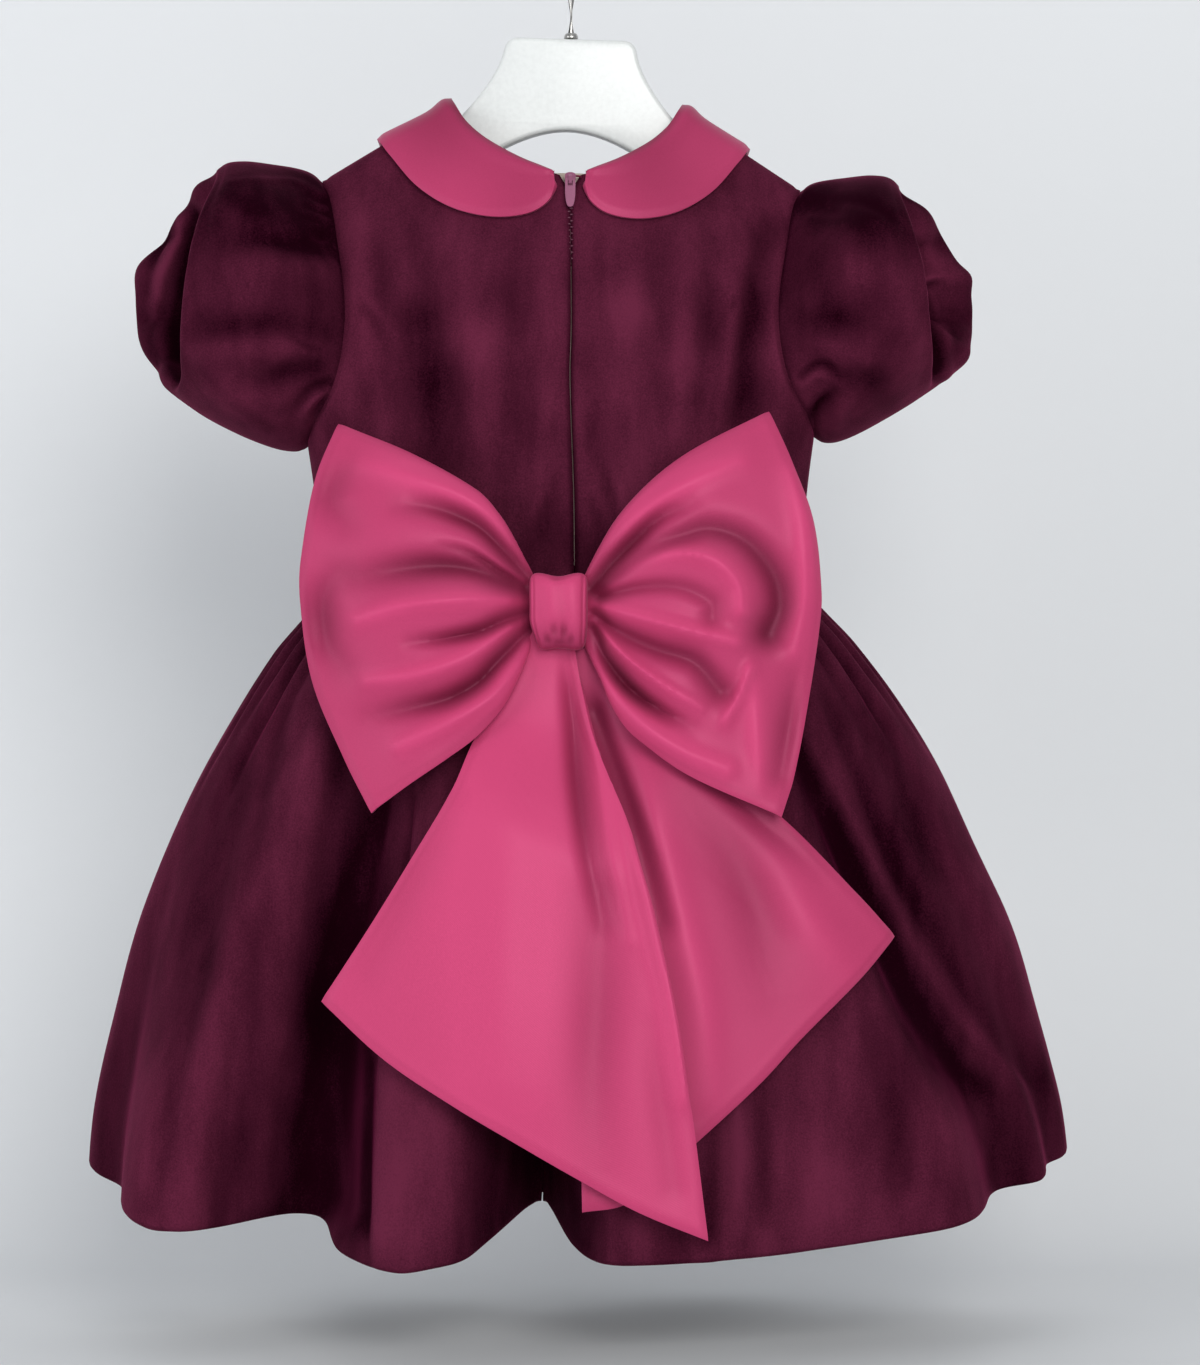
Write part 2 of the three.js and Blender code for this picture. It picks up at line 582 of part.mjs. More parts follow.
// The cuff is a band inside the sleeve's mouth, which the turned-in edge is gathered to
function cuff(side) {
  const last = SLEEVE_RINGS[SLEEVE_RINGS.length - 1];
  const turns = Array.from({ length: SLEEVE_COLUMNS }, (_, c) => c / SLEEVE_COLUMNS);
  const band = (gap) => {
    const ring = { ...last, tall: last.tall + CUFF_WALL / 2, deep: last.deep + CUFF_WALL / 2 };
    for (const key of ["top", "back", "bottom", "front"]) ring[key] -= gap;
    return turns.map((turn) => ringPoint(ring, side, turn));
  };
  const grid = hung([band(CUFF_GAP), band(CUFF_GAP + CUFF_LONG)]);
  const middle = new THREE.Vector3(side * (last.back - CUFF_LONG), 0, last.height);
  return wall(grid, CUFF_WALL, middle, true);
}

function signedPower(value, exponent) {
  return Math.sign(value) * Math.abs(value) ** exponent;
}

// A point of the skirt: turn in quarter turns from the centre back, v from the waist to the hem
function skirtPoint(turn, v) {
  const angle = (turn * Math.PI) / 2;
  const hem = mix(HEM_HEIGHT_SIDE, HEM_HEIGHT_BACK, Math.abs(Math.cos(angle)) ** HEM_DIP);
  let inwards = 0;
  let rise = 0;
  for (const fold of SKIRT_FOLDS) {
    const centre = mix(fold.waist, fold.hem, v);
    const away = ((turn - centre + 6) % 4) - 2;
    const shape = Math.exp(-((away / (away < 0 ? fold.before : fold.after)) ** 2));
    const grown = Math.max(0, (v - fold.starts) / (1 - fold.starts)) ** FOLD_GROWTH;
    inwards += fold.depth * shape * grown;
    rise += fold.rise * shape * v * v;
  }
  const height = mix(WAIST_HEIGHT - SEAM, hem + rise, v);
  const size = (column) => tableValue(SKIRT_SECTIONS, "height", column, height);
  const [wide, deep, exponent] = [size("wide"), size("deep"), 2 / size("power")];
  const x = wide * signedPower(Math.sin(angle), exponent);
  const y = -deep * signedPower(Math.cos(angle), exponent);
  const outwards = new THREE.Vector2(x / wide ** 2, y / deep ** 2).normalize();
  return new THREE.Vector3(x - outwards.x * inwards, y - outwards.y * inwards, height);
}

function skirtPanel(from, to, columns, spread) {
  const seamTurn = (share, v) => {
    const edge = (turn) => (turn === 0 ? mix(0, SKIRT_FOLDS[0].hem, v) : turn);
    return mix(edge(from), edge(to), share);
  };
  const last = SKIRT_ROWS.length - 1;
  const grid = SKIRT_ROWS.map((v) =>
    Array.from({ length: columns + 1 }, (_, c) => skirtPoint(seamTurn(spread(c / columns), v), v)),
  );
  const side = Math.sign(from + to);
  const facing = from === 1 ? 1 : -1;
  for (const row of grid) {
    for (const [point, turn] of [[row[0], from], [row[columns], to]]) {
      if (turn === 0) point.x += (side * SEAM) / 2;
      else point.y += (facing * SEAM) / 2;
    }
  }
  const pin = (r, c) => {
    let axes = "";
    if (c === 0) axes += from === 0 ? "x" : "y";
    if (c === columns) axes += to === 0 ? "x" : "y";
    if (r === 0 || r === last) axes += "z";
    return axes;
  };
  return wall(hung(grid), VELVET, new THREE.Vector3(0, 0, -500), false, pin);
}

// How far the skirt's round section stands back at a place, without its folds
function skirtDepth(across, height) {
  const size = (column) => tableValue(SKIRT_SECTIONS, "height", column, height);
  const [wide, deep, roundness] = [size("wide"), size("deep"), size("power")];
  return deep * Math.max(0, 1 - Math.abs(across / wide) ** roundness) ** (1 / roundness);
}

function bowWing(wing) {
  const edges = {
    top: outline(wing.top),
    bottom: outline(wing.bottom),
    left: (v) => [wing.top[0][0], mix(wing.top[0][1], wing.bottom[0][1], v)],
    right: outline(wing.end),
  };
  const grid = Array.from({ length: WING_COLUMNS + 1 }, (_, c) => {
    const v = c / WING_COLUMNS;
    return Array.from({ length: WING_ROWS + 1 }, (_, r) => {
      const u = r / WING_ROWS;
      const [x, z] = patch(edges, u, v);
      const stand = (column) => tableValue(WING_STAND, "share", column, u);
      const middle = 4 * v * (1 - v);
      let depth = mix(mix(stand("top"), stand("bottom"), v), stand("middle"), middle);
      for (const groove of wing.grooves) {
        const centre = mix(groove.knot, groove.fades, Math.min(1, u / groove.reach));
        const strength = smoothStep(groove.reach, groove.reach * 0.3, u);
        depth -= groove.depth * strength * Math.exp(-(((v - centre) / groove.half) ** 2));
      }
      return new THREE.Vector3(x, -depth, z);
    });
  });
  return wall(grid, SATIN, new THREE.Vector3(0, 200, -350));
}

function bowTail(tail, rootDepth) {
  const edges = {
    top: (u) => [mix(tail.left[0][0], tail.right[0][0], u), tail.left[0][1]],
    bottom: outline(tail.bottom),
    left: outline(tail.left),
    right: outline(tail.right),
  };
  const grid = Array.from({ length: TAIL_ROWS + 1 }, (_, r) => {
    const v = r / TAIL_ROWS;
    return Array.from({ length: TAIL_COLUMNS + 1 }, (_, c) => {
      const u = c / TAIL_COLUMNS;
      const [x, z] = patch(edges, u, v);
      const laid = skirtDepth(x, z) + tail.stand;
      let depth = mix(rootDepth, laid, smoothStep(...TAIL_FALL, v));
      for (const fold of tail.folds) {
        const centre = mix(fold.root, fold.hem, v);
        const shape = Math.exp(-(((u - centre) / fold.half) ** 2));
        depth -= fold.depth * shape * smoothStep(fold.fades, fold.fades * 0.2, v) * smoothStep(0.1, 0.35, v);
      }
      return new THREE.Vector3(x, -depth, z);
    });
  });
  return wall(grid, SATIN, new THREE.Vector3(0, 300, -480));
}

// The knot is a rounded block, waisted a little at its top and bottom
function bowKnot() {
  const block = new THREE.SphereGeometry(1, 20, 12);
  block.rotateX(Math.PI / 2);
  const place = block.getAttribute("position");
  const halfDeep = (KNOT.back - KNOT.front) / 2;
  for (let k = 0; k < place.count; k += 1) {
    const onBall = [place.getX(k), place.getY(k), place.getZ(k)];
    const [x, y, z] = onBall.map((value) => signedPower(value, KNOT_SQUARED));
    const halfWide = KNOT.halfWide * (1 - KNOT_WAIST * z * z);
    const middle = (KNOT.front + KNOT.back) / 2;
    place.setXYZ(k, KNOT.across + x * halfWide, middle + y * halfDeep, KNOT.height + z * KNOT.halfTall);
  }
  return block;
}

function zipTape() {
  const grid = Array.from({ length: TAPE.steps + 1 }, (_, r) => {
    const z = mix(TAPE.top, TAPE.bottom, r / TAPE.steps);
    return [-1, -0.33, 0.33, 1].map((share) => {
      const x = share * TAPE.halfWide;
      return hang(new THREE.Vector3(x, -bodiceDepth(x, z) + VELVET + SEAM * 2.5, z));
    });
  });
  return wall(grid, TAPE.thick, CHEST);
}

function solidOf(geometry) {
  const soft = geometry.index ? geometry.toNonIndexed() : geometry;
  const place = soft.getAttribute("position");
  const keys = new Map();
  const vertices = [];
  const triangles = [];
  for (let k = 0; k < place.count; k += 1) {
    const point = [place.getX(k), place.getY(k), place.getZ(k)];
    const key = point.map((value) => Math.round(value * 1e4)).join(" ");
    if (!keys.has(key)) {
      keys.set(key, vertices.length / 3);
      vertices.push(...point);
    }
    triangles.push(keys.get(key));
  }
  const vertProperties = new Float32Array(vertices);
  const triVerts = new Uint32Array(triangles);
  return new wasm.Manifold(new wasm.Mesh({ numProp: 3, vertProperties, triVerts }));
}

function geometryOf(solid) {
  const mesh = solid.getMesh();
  const geometry = new THREE.BufferGeometry();
  geometry.setAttribute("position", new THREE.BufferAttribute(mesh.vertProperties, 3));
  return geometry.setIndex(new THREE.BufferAttribute(mesh.triVerts, 1));
}

function extruded(shape, depth, segments = 6) {
  return new THREE.ExtrudeGeometry(shape, { depth, bevelEnabled: false, curveSegments: segments });
}

// The slider's plate lies on the zip, and a bridge stands on it for the pull to hang from
const zipFace = -bodiceDepth(0, ZIP_TOP) - 2 * SEAM;
const zipSlope = Math.atan((bodiceDepth(0, ZIP_TOP - 4) - bodiceDepth(0, ZIP_TOP + 4)) / 8);
const standOff = SLIDER.thick + SLIDER.window / 2;
const pullAxis = new THREE.Vector3(
  0,
  zipFace - standOff * Math.cos(zipSlope),
  ZIP_TOP + standOff * Math.sin(zipSlope),
);
const pullSlope = zipSlope - THREE.MathUtils.degToRad(PULL.lean);

function bridgeOutline() {
  const outer = SLIDER.bridgeHalf;
  const inner = outer - SLIDER.bridgeThick;
  const reach = SLIDER.window + SLIDER.bridgeThick;
  const foot = -SLIDER.bridgeFoot;
  const outside = [[outer * 0.6, reach], [outer, reach * 0.7], [outer, foot]];
  const right = [...outside, [inner, foot], [inner, SLIDER.window]];
  const left = right.map(([x, y]) => [-x, y]).reverse();
  return pointsOf([...right, ...left]);
}

function zipSlider() {
  const half = SLIDER.wide / 2;
  const end = SLIDER.tall / 2;
  const plateShape = new THREE.Shape();
  plateShape.moveTo(-half * SLIDER.tail, -end);
  plateShape.lineTo(half * SLIDER.tail, -end);
  plateShape.lineTo(half, end / 2);
  plateShape.quadraticCurveTo(half, end, 0, end);
  plateShape.quadraticCurveTo(-half, end, -half, end / 2);
  plateShape.closePath();
  const plate = extruded(plateShape, SLIDER.thick);
  plate.rotateX(Math.PI / 2);
  const bridge = extruded(new THREE.Shape(bridgeOutline()), SLIDER.bridgeWide);
  bridge.translate(0, 0, -SLIDER.bridgeWide / 2);
  const turn = new THREE.Matrix4().makeBasis(
    new THREE.Vector3(0, 0, 1),
    new THREE.Vector3(0, -1, 0),
    new THREE.Vector3(1, 0, 0),
  );
  bridge.applyMatrix4(turn);
  bridge.translate(0, -SLIDER.thick, 0);
  const slider = geometryOf(solidOf(plate).add(solidOf(bridge)));
  slider.rotateX(-zipSlope);
  slider.translate(0, zipFace, ZIP_TOP);
  return slider;
}

function zipPull() {
  const half = PULL.wide / 2;
  const top = PULL.bar / 2;
  const waist = -PULL.eyeLong - 2; // where the straight sides start to taper
  const shape = new THREE.Shape();
  shape.moveTo(-half * 0.85, top);
  shape.lineTo(half * 0.85, top);
  shape.lineTo(half, top - PULL.corner);
  shape.lineTo(half, waist);
  shape.quadraticCurveTo(half, -PULL.long * 0.75, half * 0.55, -PULL.long * 0.92);
  shape.quadraticCurveTo(0, -PULL.long * 1.02, -half * 0.55, -PULL.long * 0.92);
  shape.quadraticCurveTo(-half, -PULL.long * 0.75, -half, waist);
  shape.lineTo(-half, top - PULL.corner);
  shape.closePath();
  const eye = PULL.eyeWide / 2;
  const eyeLow = -top - PULL.eyeLong;
  shape.holes.push(new THREE.Path(pointsOf([[-eye, -top], [-eye, eyeLow], [eye, eyeLow], [eye, -top]])));
  const plate = extruded(shape, PULL.thick);
  plate.translate(0, 0, -PULL.thick / 2);
  plate.rotateX(Math.PI / 2 - pullSlope);
  plate.translate(pullAxis.x, pullAxis.y, pullAxis.z);
  return plate;
}

// The board is one flat outline, arched under the neck, with arms that fill the shoulders
function hangerBoard() {
  const down = BOARD_UNDER / Math.cos(Math.atan(SHOULDER_SLOPE));
  const armTop = (x) => shoulderLine(x) - down;
  const inset = BOARD_EDGE;
  const slopeInset = inset * Math.hypot(1, SHOULDER_SLOPE); // upright measure of the inset along the arms
  const shape = new THREE.Shape();
  shape.moveTo(0, BOARD_TOP - inset);
  shape.lineTo(BOARD_NECK, BOARD_TOP - inset);
  shape.quadraticCurveTo(BOARD_NECK + 4, BOARD_TOP - inset, BOARD_NECK + 4.6, BOARD_TOP - 8);
  shape.quadraticCurveTo(33, -100, 50, armTop(50) - slopeInset - 5);
  shape.lineTo(64, armTop(64) - slopeInset - 1.2);
  shape.lineTo(BOARD_ARM - 3, armTop(BOARD_ARM - 3) - slopeInset);
  shape.quadraticCurveTo(BOARD_ARM, armTop(BOARD_ARM) - 6, BOARD_ARM - 5, armTop(BOARD_ARM) - 12);
  shape.quadraticCurveTo(70, -147, 45, -137.5);
  shape.quadraticCurveTo(20, BOARD_ARCH + inset, 0, BOARD_ARCH + inset);
  const whole = new THREE.Shape(mirrored(shape.getPoints(4)));
  const board = new THREE.ExtrudeGeometry(whole, {
    depth: BOARD_THICK - 2 * BOARD_EDGE,
    bevelEnabled: true,
    bevelThickness: BOARD_EDGE,
    bevelSize: BOARD_EDGE,
    bevelSegments: 2,
    curveSegments: 5,
  });
  board.translate(0, 0, -(BOARD_THICK - 2 * BOARD_EDGE) / 2);
  board.rotateX(Math.PI / 2);
  const lean = THREE.MathUtils.degToRad(BOARD_LEAN);
  board.translate(0, 0, -BOARD_TOP);
  board.rotateY(lean);
  board.translate(0, 0, BOARD_TOP);
  return board;
}

function ferrule() {
  const inside = WIRE_RADIUS + SEAM;
  const profile = pointsOf([
    [inside, 0],
    [FERRULE.wide, 0],
    [FERRULE.shoulder, FERRULE.shoulderTall],
    [FERRULE.mouth, FERRULE.tall],
    [inside, FERRULE.tall],
    [inside, 0],
  ]);
  const ringShape = new THREE.LatheGeometry(profile, 12);
  ringShape.rotateX(Math.PI / 2);
  ringShape.translate(0, 0, BOARD_TOP + SEAM + FERRULE.lift);
  return ringShape;
}

function hangerHook() {
  const radius = HOOK_RADIUS + WIRE_RADIUS;
  const rad = THREE.MathUtils.degToRad;
  const points = [];
  const arc = (x, z, size, from, to, first, steps) => {
    for (let k = first; k <= steps; k += 1) {
      const angle = rad(mix(from, to, k / steps));
      points.push(new THREE.Vector3(x + size * Math.cos(angle), 0, z + size * Math.sin(angle)));
    }
  };
  arc(0, -HOOK_RADIUS, radius, 180 - HOOK_TIP_ANGLE, HOOK_TURN_ANGLE, 0, HOOK_STEPS.hook);
  const turnX = Math.cos(rad(HOOK_TURN_ANGLE));
  const bend = (radius * turnX) / (1 - turnX);
  const bendHeight = -HOOK_RADIUS + (radius + bend) * Math.sin(rad(HOOK_TURN_ANGLE));
  arc(bend, bendHeight, bend, 180 + HOOK_TURN_ANGLE, 180, 1, HOOK_STEPS.bend);
  points.push(new THREE.Vector3(0, 0, (bendHeight + BOARD_TOP) / 2));
  points.push(new THREE.Vector3(0, 0, BOARD_TOP + SEAM));
  const path = new THREE.CatmullRomCurve3(points, false, "centripetal");
  const corners = Array.from({ length: HOOK_STEPS.round }, (_, k) => (k * 2 * Math.PI) / HOOK_STEPS.round);
  const section = pointsOf(corners.map((a) => [WIRE_RADIUS * Math.cos(a), WIRE_RADIUS * Math.sin(a)]));
  return new THREE.ExtrudeGeometry(new THREE.Shape(section), { steps: HOOK_STEPS.whole, extrudePath: path });
}

for (const [word, side] of [["left", -1], ["right", 1]]) {
  addPiece(`bodice_back_${word}`, bodiceBack(side), velvet());
  addPiece(`collar_${word}`, collar(side), satin());
  addPiece(`sleeve_${word}`, sleeve(side), velvet());
  addPiece(`cuff_${word}`, cuff(side), velvet());
}
addPiece("bodice_front", bodiceFront(), velvet());
const crowded = (share) => share ** SEAM_CROWD;
addPiece("skirt_back_left", skirtPanel(-1, 0, SKIRT_BACK_COLUMNS, (s) => 1 - crowded(1 - s)), velvet());
addPiece("skirt_back_right", skirtPanel(0, 1, SKIRT_BACK_COLUMNS, crowded), velvet());
addPiece("skirt_front", skirtPanel(1, 3, SKIRT_FRONT_COLUMNS, (s) => s), velvet());
addPiece("bow_wing_left", bowWing(LEFT_WING), satin());
addPiece("bow_wing_right", bowWing(RIGHT_WING), satin());
addPiece("bow_knot", bowKnot(), satin());
addPiece("bow_tail_front", bowTail(FRONT_TAIL, TAIL_ROOT_DEPTH.front), satin());
addPiece("bow_tail_back", bowTail(BACK_TAIL, TAIL_ROOT_DEPTH.back), satin());
addPiece("zip_tape", zipTape(), material(0xb9aa9c, 0.85, 0));
addPiece("zip_slider", zipSlider(), material(0x7d3f5c, 0.4, 0.6));
addPiece("zip_pull", zipPull(), material(0x8c466a, 0.4, 0.6));
addPiece("hanger_board", hangerBoard(), material(0xf2f5f5, 0.35, 0));
addPiece("hanger_ferrule", ferrule(), metal());
addPiece("hanger_hook", hangerHook(), metal());

export default dress;
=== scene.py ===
import math

import bmesh
import bpy
import numpy as np
from mathutils import Matrix, Vector


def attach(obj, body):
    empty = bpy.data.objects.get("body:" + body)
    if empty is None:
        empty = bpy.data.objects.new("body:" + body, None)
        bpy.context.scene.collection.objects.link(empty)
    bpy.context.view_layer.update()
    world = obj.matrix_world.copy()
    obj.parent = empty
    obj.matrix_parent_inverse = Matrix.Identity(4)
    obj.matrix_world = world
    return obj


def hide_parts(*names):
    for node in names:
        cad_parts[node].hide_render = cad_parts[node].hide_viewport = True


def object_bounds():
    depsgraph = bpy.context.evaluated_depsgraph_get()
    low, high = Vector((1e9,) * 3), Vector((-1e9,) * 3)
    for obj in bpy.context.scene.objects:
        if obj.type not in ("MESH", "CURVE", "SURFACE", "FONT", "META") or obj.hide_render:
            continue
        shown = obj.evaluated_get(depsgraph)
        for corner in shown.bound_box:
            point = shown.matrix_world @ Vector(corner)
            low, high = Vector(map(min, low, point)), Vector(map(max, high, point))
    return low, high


bl_info = {
    "name": "Velvet party dress",
    "version": (1, 0, 0),
    "blender": (4, 5, 0),
    "location": "View3D > Sidebar > Dress",
    "description": "Builds a toddler's velvet party dress with a satin bow, on its hanger",
    "category": "Object",
}

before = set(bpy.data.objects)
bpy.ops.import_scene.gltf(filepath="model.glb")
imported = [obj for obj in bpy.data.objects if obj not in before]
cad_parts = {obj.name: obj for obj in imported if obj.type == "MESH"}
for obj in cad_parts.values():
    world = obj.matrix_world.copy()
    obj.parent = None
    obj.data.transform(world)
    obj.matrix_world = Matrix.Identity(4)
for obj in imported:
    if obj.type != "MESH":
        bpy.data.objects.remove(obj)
CAD_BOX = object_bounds()

MM = 0.001
BACK, FRONT = -1, 1
LEFT, RIGHT = -1, 1
SIDE_NAMES = ((LEFT, "left"), (RIGHT, "right"))

# Bodice, on a half pattern
NECK_POINT = 54
NECK_POINT_HEIGHT = -110
SHOULDER_SLOPE = 0.63
SHOULDER_TIP = 114.7
SHOULDER_ROUND = 7.5
BACK_FALL = 0.45
CHEST_DEPTH = 50
CHEST_POWER = 2.4
WAIST_HEIGHT = -341
WAIST_WIDTH = 113
HEM_HEIGHT_SIDE = -611
HEM_HEIGHT_BACK = -646
SEAM = 0.3
ARMHOLE_SHARE = 0.62
NECK_SHARE = 0.5
ZIP_TOP = -152
ZIP_MOUTH = 5.4
ARMHOLE_TUCK = 0.5

# The dress hangs a little askew: widen is the share by which the left is wider than the right,
# lean is the drop to the right for each millimetre of width
ASKEW = {
    "height": (-620, -520, -400, -341, -270, -210, -150, -105),
    "widen": (-0.016, -0.006, 0.01, 0.035, 0.04, 0.04, 0.04, 0.04),
    "lean": (-0.014, -0.014, -0.016, -0.018, -0.018, 0, 0.019, 0.031),
}
BACK_NECK = ((0, -148), (16, -144.5), (28, -138), (40, -130.5), (48.5, -121), (NECK_POINT, NECK_POINT_HEIGHT))
FRONT_NECK = ((0, -174), (15, -171), (28, -161), (40, -146), (49, -128), (NECK_POINT, NECK_POINT_HEIGHT))
SHOULDER_TIP_HEIGHT = NECK_POINT_HEIGHT - (SHOULDER_TIP - NECK_POINT) * SHOULDER_SLOPE
ARMHOLE = (
    (SHOULDER_TIP, SHOULDER_TIP_HEIGHT), (110.3, -158), (106, -180), (102.8, -200), (102, -216),
    (104.2, -235), (109.2, -250), (117.4, -263), (121.4, -271.4),
)
SIDE_SEAM = ((121.4, -271.4), (118.8, -290), (WAIST_WIDTH, WAIST_HEIGHT))
# Half width that the bodice's round section would have at each height
SECTION_WIDTH = {
    "height": (-345, WAIST_HEIGHT, -290, -271.4, -263, -250, -235, -180, -100),
    "half": (WAIST_WIDTH, WAIST_WIDTH, 118.9, 121.5, 123.5, 130, 138, 139, 139),
}
# How far the zip's line wanders from the middle
ZIP_LINE = {"height": (-341, -300, -245, -218, -165, -140), "across": (2, 1.6, -0.2, 0.4, 0, 0)}

# Collar: from the neck edge to the outer edge, on the bodice's surface
COLLAR_END = NECK_POINT_HEIGHT - (87.7 - NECK_POINT) * SHOULDER_SLOPE
COLLAR_BACK = {
    "neck": (7.4, 13, 21, 30, 39.5, 47.5, 52.6, NECK_POINT),
    "neck_height": (-147, -144.5, -141, -136, -129.5, -121.5, -113, NECK_POINT_HEIGHT),
    "out": (6.4, 9.5, 19, 35, 53, 69, 81.5, 87.7),
    "out_height": (-154, -162, -168, -169.5, -165, -154.5, -139.5, COLLAR_END),
}
COLLAR_FRONT = {
    "neck": (7, 13, 21, 30, 39.5, 47, 52.3, NECK_POINT),
    "neck_height": (-173, -171.5, -166.5, -159, -146.5, -132, -117, NECK_POINT_HEIGHT),
    "out": (6, 9.5, 20, 39, 58, 73, 83.5, 87.7),
    "out_height": (-181, -192, -202, -199, -185, -164.5, -143.5, COLLAR_END),
}

# Sleeve: rings from the armhole to the cuff, as distances from the middle of the dress
SLEEVE_RINGS = {
    "along": (0, 0.12, 0.26, 0.42, 0.56, 0.68, 0.84, 1),
    "top": (113, 121, 137, 152, 160, 163, 160, 154),
    "back": (100, 110, 126, 146, 162, 171, 169, 160),
    "bottom": (120, 127, 138, 155, 172, 183, 181, 169),
    "front": (100, 110, 128, 155, 184, 203, 201, 180),
    "height": (-209, -208, -206, -202, -198, -195, -195, -195.5),
    "tall": (62, 65, 65, 61.5, 56, 49, 41, 34),
    "deep": (40, 47, 55, 58, 54, 45, 35, 29),
}
# Folds of the sleeves, lying along them. Turns go from the top down the back and round; start and end
# are shares of the way from the armhole to the mouth; depth is inwards
SLEEVE_FOLDS = {
    "left": (
        (0.97, 0.012, 0.0, 0.3, 2.6), (0.92, 0.014, 0.0, 0.34, 3), (0.87, 0.013, 0.0, 0.24, 2.4),
        (0.8, 0.02, 0.0, 0.4, 2.2), (0.7, 0.016, 0.0, 0.34, 2.6), (0.62, 0.014, 0.0, 0.3, 2.8),
        (0.55, 0.012, 0.0, 0.3, 2), (0.86, 0.03, 0.3, 0.7, 3), (0.67, 0.03, 0.3, 0.7, 3),
        (0.78, 0.03, 0.45, 1, -4), (0.93, 0.025, 0.45, 1, -3.5), (0.6, 0.03, 0.5, 1, 3),
        (0.4, 0.02, 0.72, 1, 3), (0.28, 0.02, 0.75, 1, 3), (0.17, 0.02, 0.75, 1, 3), (0.06, 0.02, 0.72, 1, 3),
        (0.5, 0.02, 0.65, 1, 3), (0.7, 0.02, 0.7, 1, 3.5), (0.85, 0.02, 0.7, 1, 3.5),
    ),
    "right": (
        (0.98, 0.012, 0.0, 0.3, 2.2), (0.93, 0.014, 0.0, 0.34, 2.8), (0.87, 0.013, 0.0, 0.26, 2.4),
        (0.8, 0.02, 0.0, 0.4, 2), (0.71, 0.016, 0.0, 0.32, 2.6), (0.62, 0.014, 0.0, 0.3, 2.6),
        (0.53, 0.014, 0.0, 0.3, 2.2), (0.84, 0.03, 0.3, 0.7, 3), (0.68, 0.03, 0.3, 0.72, 3.4),
        (0.78, 0.022, 0.45, 1, -3.5), (0.9, 0.03, 0.4, 1, -3), (0.62, 0.025, 0.55, 1, -2.5),
        (0.96, 0.025, 0.5, 1, 3), (0.4, 0.02, 0.72, 1, 3), (0.3, 0.02, 0.75, 1, 3), (0.18, 0.02, 0.75, 1, 3),
        (0.07, 0.02, 0.72, 1, 3), (0.5, 0.02, 0.65, 1, 3), (0.7, 0.02, 0.7, 1, 3.5), (0.85, 0.02, 0.7, 1, 3.5),
    ),
}
# Creases on the back of the sleeves, as rows for relief
SLEEVE_CREASES = {
    "left": (
        (((-160, -151), (-146, -150), (-132, -148.5), (-117, -154.5)), (1.6, 1.6), (-0.6, -1, -0.8)),
        (((-113, -159), (-119, -157.5), (-126, -155.5)), (1.6, 1.6), (1.8, 1.6, 0.3)),
        (((-112.5, -165), (-118, -163.5), (-126, -161.5)), (1.7, 1.7), (2, 1.6, 0.3)),
        (((-112, -170), (-118, -168.5), (-128, -168)), (1.6, 1.6), (1.4, 1.2, 0.2)),
        (((-110.5, -174.5), (-115.5, -175.2), (-122, -177)), (3, 3.2), (5, 5, 0.6)),
        (((-112, -182.5), (-128, -183), (-143, -181), (-158, -183)), (5, 5), (2.4, 2.6, 0.4)),
        (((-111, -194), (-137, -192.7), (-168, -191.7)), (8, 8), (-1, -1.7, -1)),
        (((-114, -224), (-137, -221.5), (-156, -222.5), (-173, -224)), (5, 8), (1.6, 3, 2)),
        (((-122, -231), (-146, -230), (-174, -230)), (7, 7), (-1.4, -1.8, -1.2)),
        (((-129, -226.5), (-123, -229.5), (-117, -231)), (1.5, 1.5), (1, 2, 1.2)),
        (((-118, -239), (-130, -242), (-142, -245.5), (-152, -247)), (5, 6), (2.6, 3.4, 0.8)),
        (((-112, -246), (-119, -249), (-126, -255), (-130, -260)), (3, 3), (3.4, 4, 0.6)),
        (((-114, -253), (-118, -257), (-121.5, -262)), (2.2, 2.2), (2.6, 3, 0.8)),
        (((-113, -249.5), (-120, -253), (-126.5, -260.5)), (1.8, 1.8), (-1.6, -2.4, -0.8)),
        (((-140, -252), (-155, -254), (-168, -250)), (7, 7), (-0.6, -1.4, -0.8)),
    ),
    "right": (
        (((112, -160), (120, -162), (130, -166)), (5, 5), (2.4, 2.6, 0.6)),
        (((122, -157), (140, -163), (156, -175)), (3, 3), (0.8, 1.5, 0.4)),
        (((116, -182), (130, -190), (144, -203)), (12, 12), (-1, -2, -1)),
        (((108, -216), (124, -218), (142, -223)), (6, 6), (1.2, 2, 0.6)),
        (((150, -200), (158, -215), (163, -235)), (7, 7), (-0.6, -1.4, -0.8)),
        (((108.5, -243), (112, -239.5), (116.5, -237.8), (121, -239.3), (125, -244)), (2, 1.6), (2.4, 3.4, 1.4)),
        (((109, -247), (116, -242.5), (122, -244.5), (126, -248)), (1.9, 1.9), (-1.2, -2, -0.8)),
        (((125, -243), (134, -244), (144, -247), (148, -254)), (6, 6), (2, 3, 1)),
        (((123, -251), (118, -254.5), (114, -260), (112, -266)), (3.4, 2.6), (2, 5.5, 4)),
        (((130, -252), (127, -259), (126, -268)), (4, 4), (-1, -2, -1)),
        (((111, -228), (119, -229), (128, -231)), (3, 3), (-0.6, -1.2, -0.4)),
    ),
}
